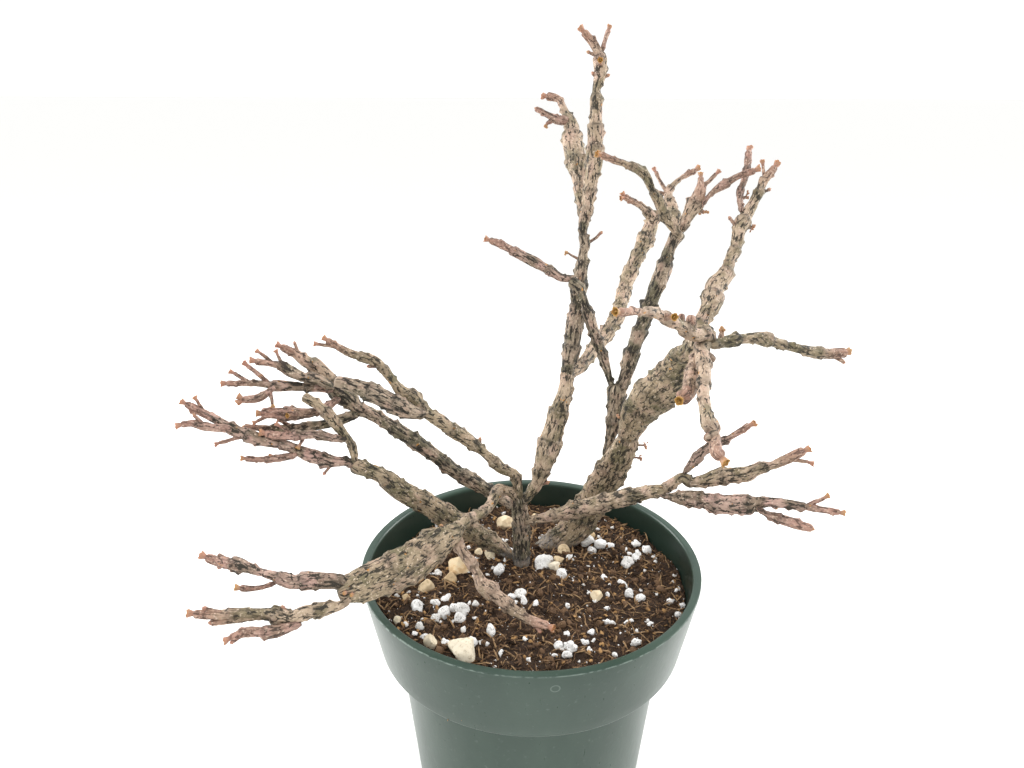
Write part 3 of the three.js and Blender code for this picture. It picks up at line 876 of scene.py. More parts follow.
    def _furrows(self, rng: Random, noise: Grain, a: Array, b: Array,
                 turn: Array, reach: Array) -> tuple[Array, Array]:
        """Cut broken lengthwise furrows that wander round the stem."""
        cut, dark = np.zeros_like(reach), np.zeros_like(reach)
        mean_radius = np.sqrt(a * b)
        for index in range(2 + int(2.2 * float(mean_radius.max()))):
            line = np.stack([np.full_like(reach, 3.7 * index), np.zeros_like(reach), reach],
                            axis=-1)
            angle = rng.uniform(0, FULL_TURN) + 0.5 * noise.at(line, (1, 1, 9.0))
            aside = np.abs((turn - angle + math.pi) % FULL_TURN - math.pi) * mean_radius
            profile = np.exp(-(aside / self.furrow_width) ** 2)
            kept = smooth_step(noise.at(line + 11.0, (1, 1, 4.0)), -0.15, 0.25)
            cut += self.furrow_depth * profile * kept
            dark = np.maximum(dark, 0.75 * smooth_step(profile, 0.3, 0.9) * kept
                              * smooth_step(noise.at(line + 23.0, (1, 1, 2.0)), -0.3, 0.3))
        return np.minimum(cut, 0.3 * b), dark

    def _scars(self, rng: Random, spine: Spine, a: Array, b: Array, turn: Array,
               reach: Array, visible: float) -> tuple[Array, Array]:
        """Raise small leaf scars by turns on both edges, and a few on the faces."""
        bump, dark = np.zeros_like(reach), np.zeros_like(reach)
        mean_radius = np.sqrt(a * b)
        count = max(1, int(visible / self.scar_gap * (1 + 0.5 * (a.max() > 3))))
        for index in range(count):
            where = spine.hidden + visible * (index + rng.uniform(0.2, 0.8)) / count
            angle = (index % 2) * math.pi + rng.normal(0, 0.35)
            if index % 4 == 3:
                angle = rng.uniform(0, FULL_TURN)
            size = rng.uniform(0.55, 1.0) * min(1.0, float(a.max()) / 2.2)
            aside = ((turn - angle + math.pi) % FULL_TURN - math.pi) * mean_radius
            ahead = reach - where
            lean = np.where(ahead > 0, 0.45, 1.1)  # steep above, drawn out below
            far = np.sqrt((aside / (0.75 * size)) ** 2 + (ahead / (lean * size)) ** 2)
            bump += self.scar_height * size * np.exp(-far ** 2)
            rim = np.exp(-((far - 0.95) / 0.35) ** 2) * (ahead > -0.4 * size)
            dark = np.maximum(dark, 0.9 * rim)
        return bump, dark

    @staticmethod
    def _close(spine: Spine, points: Array, values: dict[str, Array]) -> Shape:
        """Round the tip off and close both ends."""
        rings = [points]
        last = points[-1]
        centre = spine.centres[-1]
        height = 0.7 * float(spine.half_depth[-1])
        for lift in (0.45, 0.8):
            shrink = math.sqrt(1 - lift * lift)
            rings.append((centre + (last - centre) * shrink
                          + spine.along[-1] * height * lift)[None])
        points = np.concatenate(rings)
        ring_count, sides = points.shape[:2]
        ends = np.array([spine.centres[0], centre + spine.along[-1] * height])
        flat = {}
        for name, value in values.items():
            tail = np.repeat(value[-1:], 2, axis=0)
            whole = np.concatenate([value, tail])
            caps = np.stack([value[0].mean(axis=0), value[-1].mean(axis=0)])
            flat[name] = np.concatenate([whole.reshape(-1, *value.shape[2:]), caps])
        return Shape(np.concatenate([points.reshape(-1, 3), ends]),
                     ring_faces(ring_count, sides), flat)


class Ending(Enum):
    """What a twig carries at its end."""

    NONE = "none"
    CUP = "cup"
    PAIR = "pair"
    BUD = "bud"
    DRIED = "dried"


@dataclass(frozen=True)
class Stem:
    """How one CAD stem is dressed."""

    coat: Coat
    ending: Ending = Ending.NONE
    rooted: bool = False
    young: float = 0.0
    flush: float = 0.5  # 0 is a salmon cup, 1 a yellow one


@dataclass(frozen=True)
class Sprout:
    """A small side twig or bud on a stem.

    share runs from 0 at the stem's base to 1 at its tip; turn is the angle about the stem in
    degrees, 0 at the edge that its width points to, 90 at the back and 270 in front; lean is
    how far it tips towards the stem's tip.
    """

    share: float
    turn: float
    lean: float
    length: float
    width: float
    ending: Ending = Ending.CUP
    flush: float = 0.5


@dataclass(frozen=True)
class Bloom:
    """One ending in its place."""

    ending: Ending
    place: Array
    facing: Array
    size: float
    flush: float


TAN, OLIVE, DARK, ROSE, PALE = Coat
NONE, CUP, PAIR, BUD, DRIED = Ending

STEMS: dict[str, Stem] = {
    "trunk": Stem(DARK, rooted=True),
    "leader_lower": Stem(TAN),
    "leader_middle": Stem(DARK),
    "leader_upper": Stem(TAN, CUP, flush=0.2),
    "leader_tip": Stem(ROSE, CUP, young=0.4, flush=0.5),
    "leader_blade": Stem(PALE, CUP, flush=0.1),
    "blade_twig": Stem(ROSE, BUD, young=0.3),
    "back_stem": Stem(TAN, PAIR, flush=0.3),
    "second_trunk": Stem(OLIVE, rooted=True),
    "broad_stem": Stem(OLIVE),
    "fork_stem": Stem(DARK),
    "fork_left_lower": Stem(DARK),
    "fork_left_upper": Stem(ROSE, CUP, flush=0.2),
    "fork_right": Stem(DARK),
    "fork_near_arm": Stem(OLIVE, CUP, flush=0.8),
    "fork_far_arm": Stem(PALE, CUP, flush=0.6),
    "fork_wedge": Stem(PALE, CUP, flush=0.7),
    "wedge_branch": Stem(ROSE, CUP, young=0.3, flush=0.4),
    "high_stem": Stem(TAN, CUP, flush=0.5),
    "high_twig": Stem(ROSE, CUP, young=0.2, flush=0.3),
    "near_arm_left": Stem(PALE, CUP, flush=1.0),
    "near_stub": Stem(PALE, CUP, young=0.2, flush=1.0),
    "near_drop": Stem(PALE, CUP, flush=0.8),
    "near_arm_right": Stem(OLIVE, CUP, flush=1.0),
    "right_branch": Stem(TAN),
    "right_upper": Stem(TAN, CUP, flush=0.3),
    "right_upper_twig": Stem(ROSE, CUP, flush=0.4),
    "right_lower": Stem(ROSE, CUP, flush=0.8),
    "right_lower_tip": Stem(ROSE, BUD, young=0.3),
    "left_high": Stem(OLIVE, CUP, flush=0.2),
    "left_high_wedge": Stem(DARK),
    "left_middle": Stem(DARK),
    "left_low": Stem(OLIVE, rooted=True),
    "left_low_rise": Stem(OLIVE),
    "left_low_side": Stem(ROSE, CUP, flush=0.3),
    "left_end": Stem(ROSE, CUP, flush=0.2),
    "left_end_side": Stem(ROSE, CUP, young=0.3, flush=0.3),
    "left_end_low": Stem(ROSE, CUP, young=0.4, flush=0.3),
    "middle_back": Stem(DARK, BUD),
    "middle_low": Stem(ROSE, CUP, young=0.3, flush=0.6),
    "middle_mid": Stem(ROSE, CUP, flush=0.2),
    "middle_mid_tip": Stem(ROSE, PAIR, young=0.3, flush=0.3),
    "middle_high": Stem(PALE, CUP, flush=0.0),
    "middle_high_tip": Stem(DARK, CUP, flush=0.2),
    "front_branch": Stem(TAN),
    "front_broad": Stem(OLIVE),
    "front_upper": Stem(ROSE, CUP, flush=0.2),
    "front_upper_twig": Stem(ROSE, CUP, young=0.7, flush=0.9),
    "front_lower": Stem(TAN, CUP, flush=0.3),
    "front_lower_under": Stem(ROSE, CUP, young=0.3, flush=0.3),
    "front_drop": Stem(PALE, CUP, young=0.2, flush=0.0),
}

SPROUTS: dict[str, list[Sprout]] = {node: [Sprout(*row) for row in rows] for node, rows in {
    "leader_middle": [(0.70, 180, 15, 2.6, 0.9, DRIED, 0.9), (0.80, 0, 20, 3.5, 1.1, BUD, 0.5)],
    "leader_lower": [(0.18, 0, 30, 1.2, 1.8, BUD, 0.4)],
    "leader_upper": [(0.86, 180, 30, 1.2, 1.3, BUD, 0.9), (0.80, 265, 10, 0.3, 1.6, CUP, 1.0),
                     (0.74, 0, 30, 0.8, 1.2, BUD, 0.3), (0.73, 180, 30, 0.8, 1.2, BUD, 0.3)],
    "blade_twig": [(0.45, 180, 20, 1.0, 1.8, DRIED, 0.9)],
    "back_stem": [(0.84, 0, 60, 2.4, 4.2, NONE, 0.2)],
    "fork_far_arm": [(0.62, 180, 55, 6.0, 1.4, CUP, 0.0), (0.58, 180, 20, 2.6, 1.2, CUP, 0.4)],
    "fork_wedge": [(0.84, 0, 35, 3.4, 1.5, CUP, 0.1), (0.45, 0, 10, 0.8, 1.9, DRIED, 0.8)],
    "high_stem": [(0.66, 180, 20, 2.0, 1.4, BUD, 0.1), (0.68, 0, 10, 1.0, 1.0, DRIED, 0.5),
                  (0.86, 0, 40, 1.6, 1.2, BUD, 0.3), (0.93, 180, 40, 2.4, 1.2, CUP, 0.4)],
    "high_twig": [(0.25, 0, 30, 1.0, 1.0, DRIED, 0.3)],
    "near_arm_left": [(0.55, 270, 10, 1.4, 1.8, CUP, 1.0), (0.34, 0, 10, 0.8, 2.0, NONE, 0.2),
                      (0.24, 0, 10, 1.4, 3.0, NONE, 0.2)],
    "near_drop": [(0.15, 180, 20, 0.6, 2.4, NONE, 0.4), (0.86, 0, 20, 0.8, 2.8, NONE, 0.2)],
    "near_arm_right": [(0.08, 180, 20, 1.0, 1.8, DRIED, 0.8), (0.92, 0, 50, 2.0, 1.4, BUD, 0.4)],
    "second_trunk": [(0.97, 0, 20, 1.6, 0.8, DRIED, 0.5), (0.88, 0, 20, 1.2, 0.8, DRIED, 0.3)],
    "broad_stem": [(0.10, 180, 30, 1.2, 0.8, DRIED, 0.5)],
    "right_upper": [(0.92, 0, 40, 2.4, 1.4, CUP, 0.2)],
    "right_lower": [(0.84, 180, 45, 3.0, 1.4, CUP, 0.8)],
    "left_high": [(0.80, 180, 30, 1.4, 1.5, BUD, 0.0), (0.96, 180, 60, 3.0, 1.4, CUP, 0.0),
                  (0.30, 0, 20, 0.8, 1.6, BUD, 0.3)],
    "left_low_side": [(0.55, 180, 20, 1.2, 1.4, CUP, 1.0), (0.70, 0, 40, 2.6, 1.2, CUP, 0.2)],
    "left_end": [(0.14, 180, 20, 2.0, 1.2, BUD, 0.1), (0.32, 180, 50, 4.6, 1.6, CUP, 0.3),
                 (0.66, 180, 40, 4.0, 1.5, CUP, 0.1), (0.90, 0, 50, 2.0, 1.2, CUP, 0.2)],
    "left_end_side": [(0.55, 0, 45, 1.8, 1.2, BUD, 0.2)],
    "middle_low": [(0.92, 180, 50, 2.0, 1.4, CUP, 0.4), (0.55, 270, 40, 2.4, 1.2, CUP, 0.9)],
    "middle_mid": [(0.62, 0, 45, 5.0, 1.8, CUP, 0.0), (0.82, 0, 45, 3.0, 1.6, CUP, 0.1)],
    "middle_mid_tip": [(0.20, 180, 10, 2.4, 1.4, DRIED, 1.0)],
    "middle_high_tip": [(0.82, 0, 50, 2.4, 1.4, CUP, 0.1), (0.70, 0, 40, 1.8, 1.2, CUP, 0.2)],
    "middle_high": [(0.75, 0, 45, 1.6, 1.3, BUD, 0.1)],
    "middle_back": [(0.60, 0, 45, 2.4, 1.4, BUD, 0.2)],
    "front_broad": [(0.12, 0, 20, 0.6, 1.1, BUD, 0.7), (0.95, 270, 40, 0.9, 1.2, BUD, 0.8),
                    (0.91, 250, 40, 0.7, 1.1, BUD, 0.7)],
    "front_upper": [(0.84, 180, 60, 1.0, 1.2, BUD, 0.1), (0.84, 0, 60, 1.4, 1.6, NONE, 0.1)],
    "front_lower": [(0.42, 0, 30, 0.8, 1.4, BUD, 0.2), (0.55, 180, 74, 8.0, 2.2, BUD, 0.0),
                    (0.84, 0, 60, 2.4, 1.3, BUD, 0.0)],
    "front_lower_under": [(0.80, 180, 60, 1.6, 1.2, BUD, 0.1)],
    "front_drop": [(0.90, 0, 40, 1.2, 1.4, BUD, 0.1)],
}.items()}


@dataclass
class Plant:
    """All the stems of the plant, with the endings of their twigs."""

    soil_height: float
    thick_twig: float = 1.9  # a side twig as wide as this has bark of its own
    cup_reach: float = 2.0  # how far a cup goes past the end of its twig
    carver: StemCarver = field(default_factory=StemCarver)
    reader: SpineReader = field(default_factory=SpineReader)
    blooms: list[Bloom] = field(default_factory=list)

    def build(self) -> None:
        """Build, dress and settle every stem."""
        barks = {coat: coat.value.material() for coat in Coat}
        for node, stem in STEMS.items():
            spine = self.reader.read(node, stem.rooted)
            if stem.ending in (Ending.CUP, Ending.PAIR):
                spine = spine.trimmed(self.cup_reach)
            ends = stem.ending is not Ending.NONE
            soil = self.soil_height if stem.rooted else None
            shapes = [self.carver.skin(node, spine, ends, stem.young, soil)]
            for number, sprout in enumerate(SPROUTS.get(node, [])):
                shapes.append(self._sprout(spine, sprout, f"{node}_sprout_{number}"))
            self._end(spine, stem)
            piece = to_object(f"{node}_bark", joined(shapes), barks[stem.coat])
            settle(piece, slot_of(node), node)
            log.info("%s: %.0f mm long, %d points", node, spine.length,
                     len(piece.data.vertices))

    def _sprout(self, spine: Spine, sprout: Sprout, name: str) -> Shape:
        """Grow one side twig and note the bloom at its end.

        Args:
            spine: the stem that it stands on.
            sprout: where and how it grows.
            name: seeds what is random about it.

        Returns:
            The twig's closed skin.
        """
        stop = int(round(sprout.share * (len(spine.centres) - 1)))
        angle, lean = math.radians(sprout.turn), math.radians(sprout.lean)
        radial = (spine.across[stop] * math.cos(angle) + spine.through[stop] * math.sin(angle))
        surface = math.hypot(spine.half_width[stop] * math.cos(angle),
                             spine.half_depth[stop] * math.sin(angle))
        heading = radial * math.cos(lean) + spine.along[stop] * math.sin(lean)
        bend = spine.along[stop] * 0.35 * sprout.length
        share = np.linspace(0, 1, max(6, int((surface + sprout.length) / 0.4)))[:, None]
        line = (spine.centres[stop] + heading * (surface * 0.5 + sprout.length + surface * 0.5)
                * share + bend * share ** 2)
        along = unit(np.gradient(line, axis=0))
        across = unit(np.cross(along, FRONT + 0.01))
        steps = np.linalg.norm(np.diff(line, axis=0), axis=1)
        taper = 1.0 - 0.25 * share[:, 0]
        half = np.full(len(line), sprout.width / 2) * taper
        twig = Spine(line, along, across, unit(np.cross(along, across)), half, half * 0.92,
                     np.concatenate([[0.0], np.cumsum(steps)]), surface)
        self._bloom(sprout.ending, line[-1], along[-1], sprout.width, sprout.flush)
        young = 0.5 if sprout.width < self.thick_twig else 0.1
        return self.carver.skin(name, twig, True, young, None, plain=True)

    def _end(self, spine: Spine, stem: Stem) -> None:
        """Note the bloom or blooms at a stem's own tip."""
        tip, along = spine.centres[-1], spine.along[-1]
        width = 2 * float(spine.half_width[-1])
        if stem.ending is Ending.PAIR:
            for side in (1, -1):
                facing = unit(along + 0.7 * side * spine.across[-1])
                self._bloom(Ending.CUP, tip, facing, width, stem.flush)
        else:
            self._bloom(stem.ending, tip, along, width, stem.flush)

    def _bloom(self, ending: Ending, place: Array, facing: Array, width: float,
               flush: float) -> None:
        """Note one bloom, scaled to the twig that carries it."""
        if ending is not Ending.NONE:
            size = min(1.0, max(0.72, width / 2.1))
            self.blooms.append(Bloom(ending, place, facing, size, flush))


# ---------------- flower cups and buds


@dataclass(frozen=True)
class CupFlesh:
    """The thin fleshy cup round a spurge flower: salmon outside, amber at its mouth."""

    name: str = "flower_cup_flesh"
    salmon: Stops = ((0.0, "#846457"), (0.3, "#a47a69"), (0.62, "#b0816b"), (0.8, "#a56e46"),
                     (1.0, "#643c24"))
    yellow: Stops = ((0.0, "#866a58"), (0.3, "#a17d66"), (0.62, "#b0875a"), (0.8, "#b3893f"),
                     (1.0, "#86601f"))
    speck: str = "#6b4636"
    glow: float = 0.12
    glow_depth: float = 0.6

    def material(self) -> Material:
        """Build the node material.

        Returns:
            A material that reads the rise and flush values.
        """
        material, tree, shader = new_material(self.name)
        rise, flush = (add_node(tree, Kind.CARRIED, output="Fac", attribute_name=name)
                       for name in ("rise", "flush"))
        speckle = Pattern(0.35).on(tree, object_millimetres(tree))
        salmon, yellow = (add_node(tree, Kind.RAMP, rise, stops=stops)
                          for stops in (self.salmon, self.yellow))
        colour = add_node(tree, Kind.MIX, flush, salmon, yellow)
        specks = add_node(tree, Kind.TIMES, add_node(tree, Kind.MASK, speckle, 0.52, 0.66), 0.4)
        colour = add_node(tree, Kind.MIX, specks, colour, linear(self.speck))
        finish_shader(tree, shader, colour, 0.55, 0.5, speckle, 0.4, 0.12)
        shader.inputs["Subsurface Weight"].default_value = self.glow
        shader.inputs["Subsurface Scale"].default_value = self.glow_depth * MM
        return material


@dataclass
class Blooms:
    """Every flower cup, bud and dried flower stalk on the plant."""

    blooms: list[Bloom]
    sides: int = 20
    lobes: int = 5

    def build(self) -> None:
        """Make the three kinds, each as one piece."""
        flesh = CupFlesh().material()
        makers = {Ending.CUP: ("flower_cups", self._cup), Ending.BUD: ("buds", self._bud),
                  Ending.DRIED: ("dried_flower_stalks", self._dried)}
        for kind, (name, maker) in makers.items():
            shapes = []
            for number, bloom in enumerate(b for b in self.blooms
                                           if b.ending in (kind, Ending.PAIR)):
                rng = np.random.default_rng(zlib.crc32(f"{name}{number}".encode()))
                turn = facing_matrix(bloom.facing, rng.uniform(0, FULL_TURN))
                shape = maker(rng).moved(turn, bloom.place, bloom.size)
                count = len(shape.points)
                hue = np.clip(bloom.flush + rng.normal(0, 0.12), 0, 1)
                shape.values["flush"] = np.full(count, hue)
                shapes.append(shape)
            piece = to_object(name, joined(shapes), flesh)
            settle(piece, "young_stem")
            log.info("%s: %d", name, len(shapes))

    def _cup(self, rng: Random) -> Shape:
        """Make one cup, facing +Z, with its lobed rim and the pollen heads in its mouth."""
        outline = [(-0.6, 0.55, 0.0), (0.0, 0.58, 0.1), (0.5, 0.62, 0.25), (1.0, 0.72, 0.4),
                   (1.4, 0.86, 0.5), (1.7, 0.96, 0.58), (1.95, 1.02, 0.66), (2.1, 1.05, 0.74),
                   (2.16, 1.0, 0.8), (2.06, 0.88, 0.86), (1.85, 0.74, 0.92), (1.6, 0.58, 1.0)]
        turn = full_circle(self.sides)
        rings, rise = [], []
        lean = rng.normal(0, 0.12, 2)
        for height, radius, tone in outline:
            open_share = np.clip(height / 2.1, 0, 1) ** 2
            lobe = 1 + 0.07 * open_share * np.cos(self.lobes * turn)
            lift = 0.1 * open_share * np.cos(self.lobes * turn)
            rings.append(np.column_stack([
                radius * lobe * np.cos(turn) + lean[0] * height,
                radius * lobe * np.sin(turn) + lean[1] * height, height + lift]))
            rise.append(np.full(self.sides, tone))
        first, last = [0, 0, -0.5], [lean[0] * 1.3, lean[1] * 1.3, 1.3]
        points = np.concatenate([*rings, [first, last]])
        points += Grain(int(rng.integers(1 << 30))).at(points, 0.9)[:, None] * 0.1
        cup = Shape(points, ring_faces(len(outline), self.sides),
                    {"rise": np.concatenate([*rise, [0.0, 1.0]])})
        heads = []
        for _ in range(6):
            spot = rng.normal(0, 0.32, 2)
            size = rng.uniform(0.16, 0.28)
            at = np.array([spot[0] + lean[0] * 1.6, spot[1] + lean[1] * 1.6,
                           1.55 + rng.uniform(0, 0.35)])
            heads.append(lump_shape(rng, 1, size, 0.2).moved(np.eye(3), at))
        for head in heads:
            head.values = {"rise": np.full(len(head.points), rng.uniform(0.74, 0.86))}
        return joined([cup, *heads])

    def _bud(self, rng: Random) -> Shape:
        """Make one closed bud, facing +Z, with overlapping scales."""
        turn = full_circle(self.sides)
        rings, rise = [], []
        for index, share in enumerate(np.linspace(0.0, 0.96, 9)):
            radius = 0.72 * math.sin(math.pi * (0.28 + 0.70 * share)) ** 0.8
            fold = 1 + 0.08 * np.cos(3 * turn + index * 1.1)
            rings.append(np.column_stack([radius * fold * np.cos(turn),
                                          radius * fold * np.sin(turn),
                                          np.full(self.sides, -0.4 + 1.5 * share)]))
            rise.append(np.full(self.sides, 0.15 + 0.62 * share))
        points = np.concatenate([*rings, [[0, 0, -0.4], [0, 0, 1.1]]])
        points += Grain(int(rng.integers(1 << 30))).at(points, 0.5)[:, None] * 0.08
        return Shape(points, ring_faces(9, self.sides),
                     {"rise": np.concatenate([*rise, [0.15, 0.8]])})

    def _dried(self, rng: Random) -> Shape:
        """Make one dried cluster, facing +Z: crooked stalks that end in shrivelled beads."""
        parts = []
        for _ in range(6):
            aim = unit(np.array([*rng.normal(0, 0.9, 2), 1.0]))
            curl = rng.normal(0, 0.35, 3)
            reach = rng.uniform(0.9, 1.8)
            for bead in np.linspace(0.0, 1.0, 8):
                size = 0.24 if bead < 0.99 else rng.uniform(0.36, 0.52)
                at = aim * reach * bead + curl * bead ** 2 + rng.normal(0, 0.07, 3)
                part = lump_shape(rng, 2, size, 0.35).moved(np.eye(3), at)
                part.values = {"rise": np.full(len(part.points), 0.25 + 0.35 * bead)}
                parts.append(part)
        return joined(parts)


def facing_matrix(facing: Array, spin: float) -> Array:
    """Give the turn that takes +Z to a direction, after a spin about +Z."""
    turn = Vector(facing.tolist()).to_track_quat("Z", "Y").to_matrix()
    return np.array(turn @ Matrix.Rotation(spin, 3, "Z"))


def lump_shape(rng: Random, level: int, radius: float, rough: float) -> Shape:
    """Make a rough closed lump.

    Args:
        rng: what is random about it.
        level: icosphere level; 1 has 20 faces, 2 has 80 and each next level 4 times more.
        radius: its mean radius.
        rough: how far its surface strays, as a share of the radius.

    Returns:
        The lump, with no values.
    """
    ball = bmesh.new()
    bmesh.ops.create_icosphere(ball, subdivisions=level, radius=1.0)
    points = np.array([v.co for v in ball.verts])
    faces = [tuple(v.index for v in face.verts) for face in ball.faces]
    ball.free()
    noise = Grain(int(rng.integers(1 << 30)))
    swell = 1 + rough * (noise.at(points + 7, 0.9) + 0.5 * noise.at(points + 3, 0.4))
    stretch = rng.uniform(0.75, 1.2, 3)
    return Shape(points * swell[:, None] * stretch * radius, faces)


# ---------------- the pot


@dataclass(frozen=True)
class MouldedPlastic:
    """Injection-moulded polypropylene: dark grey-green, satin, faintly scuffed and dusty, with
    painted shade inside the collar and a painted highlight along the lip's edge.
    """

    name: str = "polypropylene_injection_moulded_green"
    green: str = "#2c4036"
    faded: str = "#34483d"
    # pale scuffs and dust, and the painted highlight along the lip's edge
    scuff_and_edge_highlight: str = "#9fb0a5"
    painted_inner_shade: str = "#17241e"  # painted shade on the inner face of the collar

    def material(self, pot: "Pot", mark: Array) -> Material:
        """Build the node material.

        Args:
            pot: the pot it dresses, for its heights and radii.
            mark: middle of the moulding mark on the collar.

        Returns:
            The material.
        """
        material, tree, shader = new_material(self.name)
        place = object_millimetres(tree)
        cloud = Pattern(14.0, scale=(1, 1, 0.35)).on(tree, place)
        haze = Pattern(1.6, 4.0).on(tree, place)
        scratch = Pattern(1.4, scale=(2.6, 2.6, 0.16)).on(tree, place)
        worn = Pattern(2.2, scale=(1, 1, 2.0)).on(tree, place)
        axes = add_node(tree, "ShaderNodeSeparateXYZ", inputs={"Vector": place}).node.outputs
        squares = [add_node(tree, "ShaderNodeMath", inputs={0: axes[axis], 1: 2.0},
                            operation="POWER") for axis in "XY"]
        total = add_node(tree, "ShaderNodeMath", inputs={0: squares[0], 1: squares[1]},
                         operation="ADD")
        radius = add_node(tree, "ShaderNodeMath", inputs={0: total}, operation="SQRT")

        dust = add_node(tree, Kind.TIMES, add_node(tree, Kind.MASK, haze, 0.6, 0.8), 0.12)
        # The pale band on the lip's outer edge is partly scuffing and partly a painted
        # highlight.
        outer = add_node(tree, Kind.MASK, radius, pot.rim - 0.26, pot.rim - 0.1)
        upper = add_node(tree, Kind.MASK, axes["Z"], pot.top - 0.6, pot.top - 0.35)
        edge = add_node(tree, Kind.TIMES, add_node(tree, Kind.TIMES, outer, upper),
                        add_node(tree, Kind.MASK, worn, 0.4, 0.6))
        ring = self._ring(tree, place, pot.mark_radius, mark)
        colour = add_node(tree, Kind.MIX, add_node(tree, Kind.MASK, cloud, 0.35, 0.7),
                          linear(self.green), linear(self.faded))
        layers = ((dust, self.scuff_and_edge_highlight), (add_node(tree, Kind.TIMES, edge, 0.55), self.scuff_and_edge_highlight),
                  # the inner face of the collar gets painted shade
                  (self._painted_inner_shade_mask(tree, axes["Z"], radius, pot), self.painted_inner_shade),
                  (add_node(tree, Kind.TIMES, ring, 0.2), self.scuff_and_edge_highlight))
        for amount, tone in layers:
            colour = add_node(tree, Kind.MIX, amount, colour, linear(tone))

        gloss = add_node(tree, Kind.RANGE, scratch, 0.24, 0.36)
        height = add_node(tree, Kind.ADD, add_node(tree, Kind.TIMES, haze, 0.35),
                          add_node(tree, Kind.TIMES, ring, 0.5))
        finish_shader(tree, shader, colour, gloss, 0.42, height, 0.5, 0.12)
        return material

    @staticmethod
    def _painted_inner_shade_mask(tree: Tree, height: Socket, radius: Socket, pot: "Pot") -> Socket:
        """Find the inner face of the collar, between the ledge and the lip, where shade is
        painted.

        Args:
            tree: the material's node tree.
            height: height of each point.
            radius: its distance from the pot's axis.
            pot: the pot it dresses.

        Returns:
            How much the painted shade darkens it, from 0 to 1.
        """
        slope = (pot.rim - pot.collar_bottom) / (pot.top - pot.step)
        upright = add_node(tree, "ShaderNodeMath", inputs={0: height, 1: -slope, 2: radius},
                           operation="MULTIPLY_ADD")
        outside = pot.collar_bottom - slope * pot.step
        within = add_node(tree, Kind.MASK, upright, outside - 0.5, outside - 0.9)
        for low, high in ((pot.ledge + 0.2, pot.ledge + 0.8), (pot.top - 0.5, pot.top - 1.5)):
            within = add_node(tree, Kind.TIMES, within,
                              add_node(tree, Kind.MASK, height, low, high))
        return add_node(tree, Kind.TIMES, within, 0.8)

    @staticmethod
    def _ring(tree: Tree, place: Socket, radius: float, mark: Array) -> Socket:
        """Draw the moulding mark, a fine ring on the collar.

        Args:
            tree: the material's node tree.
            place: coordinates in millimetres.
            radius: the ring's radius.
            mark: its middle.

        Returns:
            1 on the ring and 0 off it.
        """
        away = add_node(tree, "ShaderNodeVectorMath", output="Value", operation="DISTANCE",
                        inputs={0: place, 1: mark.tolist()})
        return add_node(tree, Kind.TIMES,
                        add_node(tree, Kind.MASK, away, radius - 0.28, radius - 0.04),
                        add_node(tree, Kind.MASK, away, radius + 0.28, radius + 0.04))


